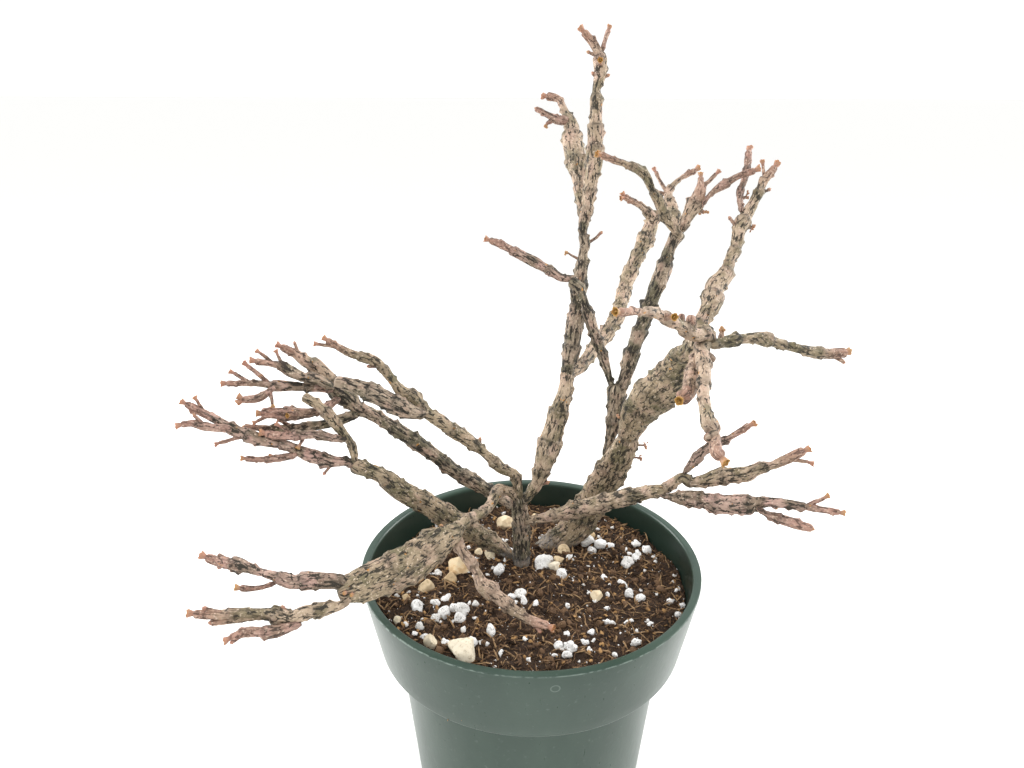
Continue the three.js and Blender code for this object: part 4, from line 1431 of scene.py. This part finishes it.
@dataclass
class Pot:
    """The round nursery pot, moulded in one piece: body, stepped collar and rolled lip."""

    segments: int = 200
    hole_segments: int = 40
    arc_steps: int = 6
    stop_gap: float = 3.0  # between stops on the straight stretches of the outline
    hole_places: int = 6  # at even angles, each with a hole or without
    warp: float = 0.12  # how far the thin wall strays from a true circle
    mark_angle: float = -82.5  # degrees round the pot
    mark_drop: float = 4.6  # below the rim
    mark_radius: float = 1.15
    finish: MouldedPlastic = field(default_factory=MouldedPlastic)

    def __post_init__(self) -> None:
        """Read the pot's outline from its CAD node."""
        points = node_points("pot")
        heights = sorted(set(np.round(points[:, 2], 1)))
        self.base, self.floor, self.step, self.ledge, _, self.top = map(float, heights)
        self.base_radius = radii_at(points, self.base)[-1]
        self.floor_radius = radii_at(points, self.floor)[-1]
        self.body_top, self.collar_bottom = radii_at(points, self.step)[-2:]
        self.body_inner, self.collar_inner = radii_at(points, self.ledge)[-2:]
        self.rim = radii_at(points, self.top)[-1]
        self.lip_inner = radii_at(points, self.top)[0]
        under = points[np.abs(points[:, 2] - self.base) < 0.05]
        reach = np.hypot(under[:, 0], under[:, 1])
        bored = under[(reach > 1.0) & (reach < self.base_radius - 1.0)]
        reach = np.hypot(bored[:, 0], bored[:, 1])
        self.hole_circle = float(reach.max() + reach.min()) / 2
        self.hole_radius = float(reach.max() - reach.min()) / 2
        angles = np.degrees(np.arctan2(bored[:, 1], bored[:, 0]))
        step = 360 / self.hole_places
        self.hole_count = len({round(angle / step) % self.hole_places for angle in angles})

    def inner_radius(self, height: float) -> float:
        """Radius of the wall's inside at a height on the collar."""
        share = (self.top - height) / (self.top - self.ledge)
        return self.lip_inner + share * (self.collar_inner - self.lip_inner)

    def outline(self) -> Array:
        """Lay out the section from the middle of the underside round to the middle of the
        floor, with an arc at each corner."""
        corners = [
            (self.base_radius, self.base, 1.2), (self.body_top, self.step, 0.9),
            (self.collar_bottom, self.step, 0.9), (self.rim, self.top, 0.45),
            (self.lip_inner, self.top, 0.8), (self.collar_inner, self.ledge, 0.8),
            (self.body_inner, self.ledge, 0.8), (self.floor_radius, self.floor, 0.8)]
        path = [np.array([0.0, self.base])]
        stops = [(0.0, self.base, 0.0), *corners, (0.0, self.floor, 0.0)]
        for before, corner, after in zip(stops, stops[1:], stops[2:]):
            here = np.array(corner[:2])
            back = unit(np.array(before[:2]) - here)
            ahead = unit(np.array(after[:2]) - here)
            start, end = here + back * corner[2], here + ahead * corner[2]
            gap = np.linalg.norm(start - path[-1])
            count = max(2, int(gap / self.stop_gap))
            for _ in range(count - 2):
                left = np.linalg.norm(start - path[-1])
                path.append(path[-1] + unit(start - path[-1]) * min(left * 0.9, gap / count))
            for share in np.linspace(0, 1, self.arc_steps):
                path.append(start * (1 - share) ** 2 + here * 2 * share * (1 - share)
                            + end * share ** 2)
        path.append(np.array([0.0, self.floor]))
        return np.array(path)

    def build(self) -> Object:
        """Turn the section into the pot, bore its drain holes and dress it."""
        path = self.outline()
        turn = full_circle(self.segments)
        noise = Grain(4)
        circle = np.stack([np.cos(turn), np.sin(turn)], axis=-1)
        rings = []
        for radius, height in path[1:-1]:
            place = np.column_stack([20 * circle, np.full(len(turn), height * 0.3)])
            stray = self.warp * smooth_step(height, 10, 60) * noise.at(place, 14.0)
            rings.append(np.column_stack([circle * (radius + stray)[:, None],
                                          np.full(len(turn), height)]))
        ends = np.array([[0, 0, self.base], [0, 0, self.floor]])
        shape = Shape(np.concatenate([*rings, ends]), ring_faces(len(rings), self.segments))
        angle = math.radians(self.mark_angle)
        height = self.top - self.mark_drop
        share = (self.top - height) / (self.top - self.step)
        radius = self.rim + share * (self.collar_bottom - self.rim)
        mark = np.array([radius * math.cos(angle), radius * math.sin(angle), height])
        dress = self.finish.material(self, mark)
        solid = to_object("pot_blank", shape, dress)
        pot = self._bored(solid, dress)
        settle(pot, "pot_plastic", "pot")
        log.info("pot: %d faces", len(pot.data.polygons))
        return pot

    def _bored(self, solid: Object, dress: Material) -> Object:
        """Cut the drain holes through the floor and give the finished pot."""
        cutters = []
        sides = self.hole_segments
        ring = full_circle(sides)
        for index in range(self.hole_count):
            angle = FULL_TURN * index / self.hole_count
            middle = self.hole_circle * np.array([math.cos(angle), math.sin(angle)])
            circle = middle + self.hole_radius * np.column_stack([np.cos(ring), np.sin(ring)])
            levels = (self.base - 2, self.floor + 2)
            points = [np.column_stack([circle, np.full(sides, level)]) for level in levels]
            ends = np.array([[*middle, level] for level in levels])
            cutters.append(Shape(np.concatenate([*points, ends]), ring_faces(2, sides)))
        cutter = to_object("hole_cutter", joined(cutters), dress)
        boolean = solid.modifiers.new("drain_holes", "BOOLEAN")
        boolean.operation, boolean.solver, boolean.object = "DIFFERENCE", "EXACT", cutter
        return finished(solid, "pot_moulded", [cutter], sharp_angle=38)


def finished(source: Object, name: str, helpers: list[Object],
             sharp_angle: float | None = None) -> Object:
    """Freeze an object's modifiers into a plain mesh and clear its helpers away.

    Args:
        source: the object with live modifiers; it is removed.
        name: the name of the frozen object.
        helpers: other objects to remove.
        sharp_angle: edges sharper than this many degrees stay crisp; None smooths all.

    Returns:
        The frozen object.
    """
    depsgraph = bpy.context.evaluated_depsgraph_get()
    mesh = bpy.data.meshes.new_from_object(source.evaluated_get(depsgraph),
                                           preserve_all_data_layers=True,
                                           depsgraph=depsgraph)
    mesh.name = name
    source.modifiers.clear()
    for old in [source, *helpers]:
        data = old.data
        bpy.data.objects.remove(old)
        bpy.data.meshes.remove(data)
    mesh.shade_smooth()
    if sharp_angle is not None:
        mesh.set_sharp_from_angle(angle=math.radians(sharp_angle))
    made = bpy.data.objects.new(name, mesh)
    bpy.context.scene.collection.objects.link(made)
    return made


# ---------------- the mix


@dataclass(frozen=True)
class Earthy:
    """A loose grain of the mix: crumb, fibre, chip or grit.

    Its colour runs over the stops by the grain's own shade and is broken up by fine noise.
    """

    name: str
    stops: Stops
    feature: float = 0.4
    dark: str = "#1c130d"
    darkness: float = 0.5
    roughness: float = 0.9
    relief: float = 0.12

    def material(self) -> Material:
        """Build the node material.

        Returns:
            A material that reads the shade and pit values.
        """
        material, tree, shader = new_material(self.name)
        shade, pit = (add_node(tree, Kind.CARRIED, output="Fac", attribute_name=name)
                      for name in ("shade", "pit"))
        grain = Pattern(self.feature, 4.0, 0.6).on(tree, object_millimetres(tree))
        wander = add_node(tree, Kind.TIMES, add_node(tree, Kind.SUBTRACT, grain, 0.42), 0.9)
        colour = add_node(tree, Kind.RAMP, add_node(tree, Kind.ADD, shade, wander),
                          stops=self.stops)
        hollow = add_node(tree, Kind.TIMES, add_node(tree, Kind.MASK, grain, 0.48, 0.30),
                          self.darkness)
        hollow = add_node(tree, Kind.MOST, hollow, add_node(tree, Kind.TIMES, pit, 0.8))
        colour = add_node(tree, Kind.MIX, hollow, colour, linear(self.dark))
        finish_shader(tree, shader, colour, self.roughness, 0.25, grain, 0.7, self.relief)
        return material


class Grit(Enum):
    """What the mix is made of."""

    CRUMB = Earthy("peat_and_coir_crumbs", ((0.0, "#1e1611"), (0.5, "#382a20"),
                                            (0.85, "#544030"), (1.0, "#735a44")))
    FIBRE = Earthy("coir_fibre", ((0.0, "#33261c"), (0.45, "#5a4433"), (0.8, "#7f6348"),
                                  (1.0, "#a98a66")), 0.8)
    CHIP = Earthy("shredded_bark", ((0.0, "#5b422c"), (0.6, "#8a6844"), (1.0, "#b48d5e")), 0.7)
    PERLITE = Earthy("expanded_perlite", ((0.0, "#dedbd6"), (0.5, "#f1f0ed"), (1.0, "#fbfbfa")),
                     0.45, "#4d453c", 0.62, 0.85, 0.2)
    CREAM = Earthy("pumice_cream", ((0.0, "#c9b693"), (0.5, "#e6d8bb"), (1.0, "#f4ebd8")),
                   1.0, "#8a7557", 0.5, 0.85, 0.2)
    BEIGE = Earthy("pumice_beige", ((0.0, "#a38c6c"), (0.5, "#cbb28c"), (1.0, "#e2cfae")),
                   1.0, "#6d5740", 0.5, 0.85, 0.2)
    ORANGE = Earthy("pumice_rusty", ((0.0, "#b87c46"), (0.3, "#d3a870"), (0.5, "#e2cca6"),
                                     (1.0, "#f0e6cf")), 2.6, "#8a5a30", 0.35, 0.8, 0.2)


@dataclass(frozen=True)
class Pebble:
    """One listed stone: what it is, its place in the pot and its width."""

    grit: Grit
    x: float
    y: float
    width: float
    node: str | None = None
    flatness: float = 1.0  # height against what it would be by chance


CRUMB, FIBRE, CHIP, PERLITE, CREAM, BEIGE, ORANGE = Grit
PEBBLE_RIM = 51.0  # the rim radius that the pebbles are laid out for

PEBBLES: list[Pebble] = [Pebble(*row) for row in (
    (ORANGE, -23, 7, 7.3, "stone_tan"), (PERLITE, 4, 10, 6.6, "stone_cream"),
    (BEIGE, -32, -3, 5.0, "stone_grey"), (ORANGE, -9, 34, 6.5, "stone_back"),
    (CREAM, -18, -32, 8.6, "stone_front", 0.6), (PERLITE, -33, -13, 4.8, "perlite_left"),
    (PERLITE, -28, -12, 3.0), (PERLITE, -25, -9, 3.0), (PERLITE, -29, 4, 2.5),
    (BEIGE, -25, 1, 3.7), (ORANGE, -17, 16, 2.8), (CREAM, -13, 14, 3.9), (PERLITE, 10, 3, 3.8),
    (PERLITE, -10, 5, 4.4), (PERLITE, -25, -17, 4.1), (PERLITE, -20, -16, 4.3),
    (PERLITE, -16, -12, 2.1), (PERLITE, -3, -7, 3.3), (PERLITE, -11, -24, 3.1),
    (PERLITE, -31, -23, 2.3), (CREAM, -27, -29, 3.9), (PERLITE, -16, -29, 3.3),
    (PERLITE, -23, -29, 2.5), (PERLITE, 11, -30, 3.5), (PERLITE, 29, -28, 2.5),
    (PERLITE, 23, -32, 1.6), (PERLITE, 30, -5, 2.7), (PERLITE, 33, -7, 3.0),
    (PERLITE, 43, -14, 2.3), (PERLITE, 45, -10, 1.8), (PERLITE, 45.5, -2, 1.5),
    (PERLITE, 31, 11, 4.2), (PERLITE, 23, 18, 4.3), (PERLITE, 18, 20, 5.3), (BEIGE, 20, 23, 3.0),
    (BEIGE, 11, 16, 3.9), (PERLITE, 38, 18, 3.3), (PERLITE, 35, 21, 3.3), (CREAM, -33, 12, 3.4),
    (BEIGE, -28, 16, 3.0), (CREAM, -22, 14, 3.2), (BEIGE, -36, 3, 3.2), (BEIGE, -37, -9, 3.0),
    (ORANGE, -20, 24, 3.6), (CREAM, -28, 26, 3.4), (BEIGE, 2, 38, 3.6), (PERLITE, -22, 33, 3.0),
    (PERLITE, -27, -19, 2.6), (PERLITE, -20, -19, 3.2), (PERLITE, -22, -14, 3.0),
    (PERLITE, -2, -10, 2.4), (PERLITE, -4.5, -10, 1.8), (PERLITE, 15, 21, 3.0),
    (PERLITE, 20, 16, 3.0), (PERLITE, 8, -29, 2.6), (PERLITE, 10, -33, 2.4),
    (CREAM, 7.5, 7.5, 3.6), (BEIGE, 9, 11, 3.4), (PERLITE, 35, 16, 2.4), (PERLITE, 40, 15, 2.0),
    (PERLITE, 12, 32, 3.4), (ORANGE, 20, -7, 3.6), (CREAM, -38, -20, 2.6),
)]


@dataclass(frozen=True)
class Scatter:
    """One kind of loose grain strewn over the bed."""

    name: str
    grit: Grit
    slot: str
    count: int
    smallest: float
    largest: float
    tilt: float  # degrees either way from lying flat
    seed: int


SCATTERS: list[Scatter] = [
    Scatter("coarse_crumbs", CRUMB, "potting_mix", 700, 0.8, 1.9, 80, 3),
    Scatter("fine_crumbs", CRUMB, "potting_mix", 7500, 0.3, 0.8, 90, 5),
    Scatter("coir_fibres", FIBRE, "potting_mix", 1900, 2.0, 5.5, 24, 7),
    Scatter("fine_fibres", FIBRE, "potting_mix", 4300, 0.8, 2.4, 60, 19),
    Scatter("bark_chips", CHIP, "potting_mix", 420, 0.5, 1.9, 50, 11),
    Scatter("perlite_grains", PERLITE, "perlite", 150, 0.8, 1.9, 90, 13),
    Scatter("perlite_dust", PERLITE, "perlite", 420, 0.25, 0.7, 90, 17),
]


class ScatterTree:
    """The Geometry Nodes group that strews grains over the level faces of a mesh."""

    INPUTS = (("Grains", "NodeSocketCollection"), ("Grains per square metre", "NodeSocketFloat"),
              ("Smallest", "NodeSocketFloat"), ("Largest", "NodeSocketFloat"),
              ("Tilt", "NodeSocketFloat"), ("Seed", "NodeSocketInt"),
              ("Finish", "NodeSocketMaterial"))
    LEVEL = 0.4  # upward share of a face's normal from which it takes grains

    def __init__(self) -> None:
        """Build the group."""
        self.tree = tree = bpy.data.node_groups.new("strew_grains", "GeometryNodeTree")
        face = tree.interface
        face.new_socket("Geometry", in_out="OUTPUT", socket_type="NodeSocketGeometry")
        face.new_socket("Geometry", in_out="INPUT", socket_type="NodeSocketGeometry")
        self.identifiers = {
            name: face.new_socket(name, in_out="INPUT", socket_type=kind).identifier
            for name, kind in self.INPUTS}
        given = tree.nodes.new("NodeGroupInput").outputs
        seed, tilt = given["Seed"], given["Tilt"]
        upward = add_node(tree, "ShaderNodeSeparateXYZ", output="Z",
                          inputs={"Vector": add_node(tree, "GeometryNodeInputNormal")})
        level = add_node(tree, "FunctionNodeCompare", data_type="FLOAT",
                         inputs={"A": upward, "B": self.LEVEL}, operation="GREATER_THAN")
        room = add_node(tree, "GeometryNodeInputNamedAttribute", output="Attribute",
                        inputs={"Name": "room"}, data_type="FLOAT")
        density = add_node(tree, "ShaderNodeMath", operation="MULTIPLY",
                           inputs={0: given["Grains per square metre"], 1: room})
        strewn = add_node(tree, "GeometryNodeDistributePointsOnFaces",
                          inputs={"Mesh": given["Geometry"], "Selection": level,
                                  "Density": density, "Seed": seed})
        picked = add_node(tree, "GeometryNodeCollectionInfo",
                          inputs={"Collection": given["Grains"], "Separate Children": True,
                                  "Reset Children": True})
        down = add_node(tree, "ShaderNodeMath", inputs={0: tilt, 1: -1.0},
                        operation="MULTIPLY")
        low = add_node(tree, "ShaderNodeCombineXYZ", inputs={"X": down, "Y": down, "Z": 0.0})
        high = add_node(tree, "ShaderNodeCombineXYZ",
                        inputs={"X": tilt, "Y": tilt, "Z": FULL_TURN})
        turn = add_node(tree, "FunctionNodeRandomValue", data_type="FLOAT_VECTOR",
                        inputs={0: low, 1: high, "Seed": seed})
        size = add_node(tree, Kind.RANDOM, given["Smallest"], given["Largest"], seed)
        placed = add_node(tree, "GeometryNodeInstanceOnPoints",
                          inputs={"Points": strewn, "Instance": picked,
                                  "Pick Instance": True, "Rotation": turn, "Scale": size})
        toned = add_node(tree, "GeometryNodeStoreNamedAttribute", data_type="FLOAT",
                         inputs={"Geometry": placed, "Name": "shade",
                                 "Value": add_node(tree, Kind.RANDOM, 0.0, 1.0, seed)},
                         domain="INSTANCE")
        real = add_node(tree, "GeometryNodeRealizeInstances", inputs={"Geometry": toned})
        dressed = add_node(tree, "GeometryNodeSetMaterial",
                           inputs={"Geometry": real, "Material": given["Finish"]})
        add_node(tree, "NodeGroupOutput", inputs={"Geometry": dressed})

    def strew(self, bed: Object, area: float, scatter: Scatter,
              grains: bpy.types.Collection, finish: Material) -> Object:
        """Strew one kind of grain over a copy of the bed and freeze it.

        Args:
            bed: the bed of the mix.
            area: its area seen from above, in square metres.
            scatter: what to strew.
            grains: the shapes to pick from, one millimetre long.
            finish: the grains' material.

        Returns:
            The grains as one plain object.
        """
        host = bpy.data.objects.new(scatter.name + "_host", bed.data.copy())
        bpy.context.scene.collection.objects.link(host)
        strewer = host.modifiers.new("strew", "NODES")
        strewer.node_group = self.tree
        values = {"Grains": grains, "Grains per square metre": scatter.count / area,
                  "Smallest": scatter.smallest, "Largest": scatter.largest,
                  "Tilt": math.radians(scatter.tilt), "Seed": scatter.seed, "Finish": finish}
        for name, value in values.items():
            strewer[self.identifiers[name]] = value
        return finished(host, scatter.name, [])


@dataclass
class PottingMix:
    """The gritty mix: a bed in the pot, loose grains strewn on it and stones laid one by one."""

    pot: Pot
    spread: float  # the pot's size against the one that the pebbles are laid out for
    rings: int = 84
    sides: int = 260
    relief: float = 0.55
    mound: tuple[float, float, float, float] = (22.0, 24.0, 9.0, 2.4)  # x, y, reach, height
    wall_gap: float = 0.15
    variants: int = 7

    def __post_init__(self) -> None:
        """Read the mix's top and its sides from its CAD node."""
        mesh = bmesh.new()
        mesh.from_mesh(frame["nodes"]["soil"].data)
        self.tree = BVHTree.FromBMesh(mesh)
        mesh.free()
        low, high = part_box("soil")
        self.bottom = low.z / MM
        self.highest = high.z / MM
        points = node_points("soil")
        reach = np.hypot(points[:, 0], points[:, 1])
        self.level = float(np.median(points[(reach > 0.5 * reach.max())
                                            & (points[:, 2] > self.highest - 3), 2]))
        self.noise = Grain(21)

    def ground(self, x: Array, y: Array) -> Array:
        """Give the bed's height under some places, the stems' holes left out."""
        heights = np.empty(len(x))
        for index, (east, north) in enumerate(zip(x, y)):
            hit = self.tree.ray_cast(Vector((east * MM, north * MM, 1.0)), Vector((0, 0, -1)))[0]
            heights[index] = hit.z / MM if hit is not None else -1.0
        heights[heights < self.level - 1.4] = self.level
        east, north, reach, height = self.mound
        heights = heights + height * np.exp(-((x - east) ** 2 + (y - north) ** 2)
                                            / (2 * reach ** 2))
        rim = smooth_step(np.hypot(x, y), self.pot.inner_radius(self.level) - 7.0,
                          self.pot.inner_radius(self.level))
        return heights + 0.9 * rim * self.noise.at(np.column_stack([x, y, x * 0]), 9.0)

    def build(self) -> None:
        """Make the bed, strew it and lay the stones."""
        bed = self._bed()
        area = math.pi * (self.pot.inner_radius(self.level) * MM) ** 2
        strewer = ScatterTree()
        finishes = {grit: grit.value.material() for grit in Grit}
        for scatter in SCATTERS:
            grains = self._grains(scatter)
            piece = strewer.strew(bed, area, scatter, grains, finishes[scatter.grit])
            self._drop(grains)
            self._hold_in(piece)
            settle(piece, scatter.slot)
            log.info("%s: %d faces", scatter.name, len(piece.data.polygons))
        self._stones(finishes)

    def _hold_in(self, piece: Object) -> None:
        """Press grains that would reach through the pot's wall back against it."""
        mesh = piece.data
        places = np.empty(len(mesh.vertices) * 3)
        mesh.vertices.foreach_get("co", places)
        places = places.reshape(-1, 3)
        reach = np.hypot(places[:, 0], places[:, 1])
        limit = (self.pot.inner_radius(self.level) - self.wall_gap) * MM
        places[:, :2] *= np.minimum(1.0, limit / np.maximum(reach, MM))[:, None]
        mesh.vertices.foreach_set("co", places.ravel())
        mesh.update()

    def _bed(self) -> Object:
        """Make the closed body of the mix, its top crumbly and its sides on the pot's wall."""
        turn = full_circle(self.sides)
        edge = self.pot.inner_radius(self.level) - self.wall_gap
        cosine, sine = np.cos(turn), np.sin(turn)
        sides = [(self.pot.floor_radius - 0.7, self.bottom),
                 (self.pot.body_inner - 0.7, self.pot.ledge + 0.3),
                 (self.pot.collar_inner - 0.7, self.pot.ledge + 0.3)]
        rings = [np.column_stack([radius * cosine, radius * sine, np.full(self.sides, height)])
                 for radius, height in sides]
        for share in np.linspace(1.0, 0.012, self.rings):
            x, y = edge * share * cosine, edge * share * sine
            flat = np.column_stack([x, y, np.zeros(self.sides)])
            crumb = (self.noise.at(flat, 2.6) + 0.7 * self.noise.at(flat + 9, 1.2)
                     + 0.4 * self.noise.at(flat + 4, 0.7))
            rings.append(np.column_stack([x, y, self.ground(x, y) + self.relief * crumb]))
        middle = rings[-1][:, 2].mean()
        points = np.concatenate([*rings, [[0, 0, self.bottom], [0, 0, middle]]])
        shape = Shape(points, ring_faces(len(rings), self.sides))
        shape.values["room"] = self._room(points)
        shape.values["shade"] = 0.35 + 0.3 * self.noise.at(points, 3.0)
        finish = Grit.CRUMB.value.material()
        finish.name = "peat_bed"
        bed = to_object("mix_bed", shape, finish)
        settle(bed, "potting_mix", "soil")
        return bed

    def _room(self, points: Array) -> Array:
        """Tell where grains may lie: not on the stones."""
        room = np.ones(len(points))
        for pebble in PEBBLES:
            away = np.hypot(points[:, 0] - pebble.x * self.spread,
                            points[:, 1] - pebble.y * self.spread)
            room *= smooth_step(away, 0.30 * pebble.width, 0.44 * pebble.width)
        return room

    def _grains(self, scatter: Scatter) -> bpy.types.Collection:
        """Make the shapes, one millimetre long, that one scatter picks from."""
        kept = bpy.data.collections.new(scatter.name + "_shapes")
        bpy.context.scene.collection.children.link(kept)
        for index in range(self.variants):
            rng = np.random.default_rng(scatter.seed * 100 + index)
            if scatter.grit is Grit.FIBRE:
                shape = self._sliver(rng)
            elif scatter.grit is Grit.CHIP:
                shape = lump_shape(rng, 2, 0.5, 0.3)
                shape.points *= (1.3, 0.7, 0.35)
            else:
                level = 2 if scatter.largest > 1 else 1
                shape = lump_shape(rng, level, 0.5, 0.75)
                shape.points *= rng.uniform(0.6, 1.3, 3)
            mesh = bpy.data.meshes.new(f"{scatter.name}_{index}")
            mesh.from_pydata((shape.points * MM).tolist(), [], shape.faces)
            made = bpy.data.objects.new(mesh.name, mesh)
            kept.objects.link(made)
        return kept

    @staticmethod
    def _sliver(rng: Random) -> Shape:
        """Make one crooked fibre, a millimetre long and a tenth of that thick."""
        stops = np.linspace(-0.5, 0.5, 6)
        bend, kink = rng.normal(0, 0.4), rng.normal(0, 0.2)
        thick = rng.uniform(0.028, 0.075)
        turn = full_circle(3)
        rings = []
        for index, stop in enumerate(stops):
            taper = 1.0 - 0.6 * abs(2 * stop) ** 2
            middle = np.array([stop, bend * (stop ** 2 - 0.1), kink * math.sin(4 * stop) + 0.03])
            section = np.column_stack([np.zeros(3), np.cos(turn + 0.3 * index) * thick * taper,
                                       np.sin(turn + 0.3 * index) * thick * 0.6 * taper])
            rings.append(middle + section)
        ends = [rings[0].mean(axis=0) - (0.02, 0, 0), rings[-1].mean(axis=0) + (0.02, 0, 0)]
        return Shape(np.concatenate([*rings, ends]), ring_faces(len(rings), 3))

    @staticmethod
    def _drop(grains: bpy.types.Collection) -> None:
        """Remove a collection and the shapes in it."""
        for made in list(grains.objects):
            mesh = made.data
            bpy.data.objects.remove(made)
            bpy.data.meshes.remove(mesh)
        bpy.data.collections.remove(grains)

    def _stones(self, finishes: dict[Grit, Material]) -> None:
        """Lay the stones, those that the CAD has as pieces of their own, the rest by kind."""
        loose: dict[Grit, list[Shape]] = {}
        for number, pebble in enumerate(PEBBLES):
            rng = np.random.default_rng(900 + number)
            shape = self._stone(rng, pebble)
            if pebble.node is None:
                loose.setdefault(pebble.grit, []).append(shape)
                continue
            piece = to_object(pebble.node + "_carved", shape, finishes[pebble.grit],
                              sharp_angle=45)
            settle(piece, slot_of(pebble.node), pebble.node)
        for grit, shapes in loose.items():
            slot = {Grit.PERLITE: "perlite", Grit.ORANGE: "tan_stone"}.get(grit, "pale_stone")
            piece = to_object(f"loose_{grit.name.lower()}_stones", joined(shapes),
                              finishes[grit], sharp_angle=45)
            settle(piece, slot)
            log.info("loose %s stones: %d", grit.name.lower(), len(shapes))

    def _stone(self, rng: Random, pebble: Pebble) -> Shape:
        """Carve one stone: perlite is a pitted ball, the others are broken on flat faces."""
        ball = lump_shape(rng, 4, 1.0, 0.0)
        points = unit(ball.points)
        noise = Grain(int(rng.integers(1 << 30)))
        pit = np.zeros(len(points))
        if pebble.grit is Grit.PERLITE:
            swell = 1 + 0.42 * noise.at(points + 5, 0.95) + 0.12 * noise.at(points + 8, 0.35)
            for _ in range(16):
                aim = unit(rng.normal(0, 1, 3))
                size = rng.uniform(0.07, 0.22)
                dent = np.exp(-(np.linalg.norm(points - aim, axis=1) / size) ** 2)
                swell = swell - 1.1 * size * dent
                pit = np.maximum(pit, smooth_step(dent, 0.5, 0.9) * rng.uniform(0.1, 1.0))
            stretch = rng.uniform(0.7, 1.15, 3)
        else:
            swell = np.full(len(points), 1.25)
            for _ in range(13):
                aim = unit(rng.normal(0, 1, 3))
                facing = points @ aim
                cut = rng.uniform(0.72, 1.0) / np.maximum(facing, 1e-3)
                swell = np.where(facing > 0.05, np.minimum(swell, cut), swell)
            swell = swell + 0.05 * noise.at(points + 5, 0.5) + 0.03 * noise.at(points + 5, 0.2)
            stretch = rng.uniform(0.75, 1.1, 3)
        points = points * swell[:, None] * stretch * (1.0, 1.0, pebble.flatness)
        width = (points.max(axis=0) - points.min(axis=0))[:2].mean()
        points = points * pebble.width / width
        angle = rng.uniform(0, FULL_TURN)
        turn = np.array(Euler((rng.normal(0, 0.2), rng.normal(0, 0.2), angle)).to_matrix())
        x, y = pebble.x * self.spread, pebble.y * self.spread
        height = float(self.ground(np.array([x]), np.array([y]))[0]) + 0.18 * pebble.width
        values = {"pit": pit, "shade": np.full(len(points), rng.uniform(0.3, 0.8))}
        return Shape(points @ turn.T + (x, y, height), ball.faces, values)


# ---------------- the studio


@dataclass
class Studio:
    """A pale floor, a white surround, a soft light overhead and the camera."""

    rim_height: float
    floor_size: float = 60.0
    floor_tone: str = "#f4f4f2"
    floor_light: str = "#ffffff"
    surround: float = 1.1
    key_power: float = 3.2
    key_place: Triple = (-0.15, -0.35, 1.15)
    key_size: float = 0.7
    strip_power: float = 4.4
    strip_place: Triple = (0.5, 0.3, 0.25)
    strip_size: tuple[float, float] = (0.22, 0.8)
    eye: tuple[float, float] = (-200.4, 133.2)  # in front of the pot's axis, above its rim
    pitch: float = -20.86
    yaw: float = 1.67
    roll: float = 0.17
    lens: float = 27.03

    def build(self) -> None:
        """Lay the floor and set up the lights and the camera."""
        self._floor()
        world = bpy.data.worlds.new("white_surround")
        bpy.context.scene.world = world
        world.use_nodes = True
        background = world.node_tree.nodes["Background"]
        background.inputs["Color"].default_value = (1, 1, 1, 1)
        background.inputs["Strength"].default_value = self.surround
        self._light("overhead_softbox", self.key_power, self.key_place, self.key_size,
                    self.key_size)
        for side, name in ((-1, "left_strip"), (1, "right_strip")):
            x, y, z = self.strip_place
            self._light(name, self.strip_power, (side * x, y, z), *self.strip_size)
        bpy.context.scene.view_settings.view_transform = "Standard"
        self._camera()

    def _light(self, name: str, power: float, place: Triple,
               width: float, height: float) -> None:
        """Hang one soft light that faces the rim's middle and that the camera can't see."""
        light = bpy.data.lights.new(name, "AREA")
        light.energy, light.shape = power, "RECTANGLE"
        light.size, light.size_y = width, height
        lamp = bpy.data.objects.new(name, light)
        lamp.location = place
        aim = Vector((0, 0, self.rim_height * MM)) - lamp.location
        lamp.rotation_euler = aim.to_track_quat("-Z", "Y").to_euler()
        lamp.visible_camera = False
        bpy.context.scene.collection.objects.link(lamp)

    def _floor(self) -> None:
        """Lay a plain pale floor under the pot."""
        material, tree, shader = new_material("studio_floor_paper")
        tone = Pattern(40.0, 2.0).on(tree, object_millimetres(tree))
        colour = add_node(tree, Kind.MIX, add_node(tree, Kind.TIMES, tone, 0.03),
                          linear(self.floor_tone), linear(self.floor_light))
        tree.links.new(colour, shader.inputs["Base Color"])
        shader.inputs["Roughness"].default_value = 0.9
        shader.inputs["Specular IOR Level"].default_value = 0.1
        half = self.floor_size / 2 / MM
        corners = np.array([[-half, -half, 0], [half, -half, 0], [half, half, 0],
                            [-half, half, 0]], dtype=float)
        floor = to_object("studio_floor", Shape(corners, [(0, 1, 2, 3)]), material)

    def _camera(self) -> None:
        """Stand the camera in front of the plant, looking down on the mix."""
        data = bpy.data.cameras.new("camera")
        data.lens, data.sensor_width, data.clip_start = self.lens, 36.0, 0.005
        camera = bpy.data.objects.new("camera", data)
        turn = (Matrix.Rotation(math.radians(self.yaw), 4, "Z")
                @ Matrix.Rotation(math.radians(90 + self.pitch), 4, "X")
                @ Matrix.Rotation(math.radians(self.roll), 4, "Z"))
        y, z = self.eye
        camera.matrix_world = Matrix.Translation((0, y * MM, (self.rim_height + z) * MM)) @ turn
        bpy.context.scene.collection.objects.link(camera)
        bpy.context.scene.camera = camera


# ---------------- assembly


def main() -> None:
    """Build the pot, the mix, the plant and the studio, in that order."""
    logging.basicConfig(level=logging.INFO, format="%(message)s")
    pot = Pot()
    pot.build()
    mix = PottingMix(pot, spread=pot.rim / PEBBLE_RIM)
    mix.build()
    plant = Plant(soil_height=mix.level)
    plant.build()
    Blooms(plant.blooms).build()
    Studio(rim_height=pot.top).build()


if __name__ == "__main__":
    main()
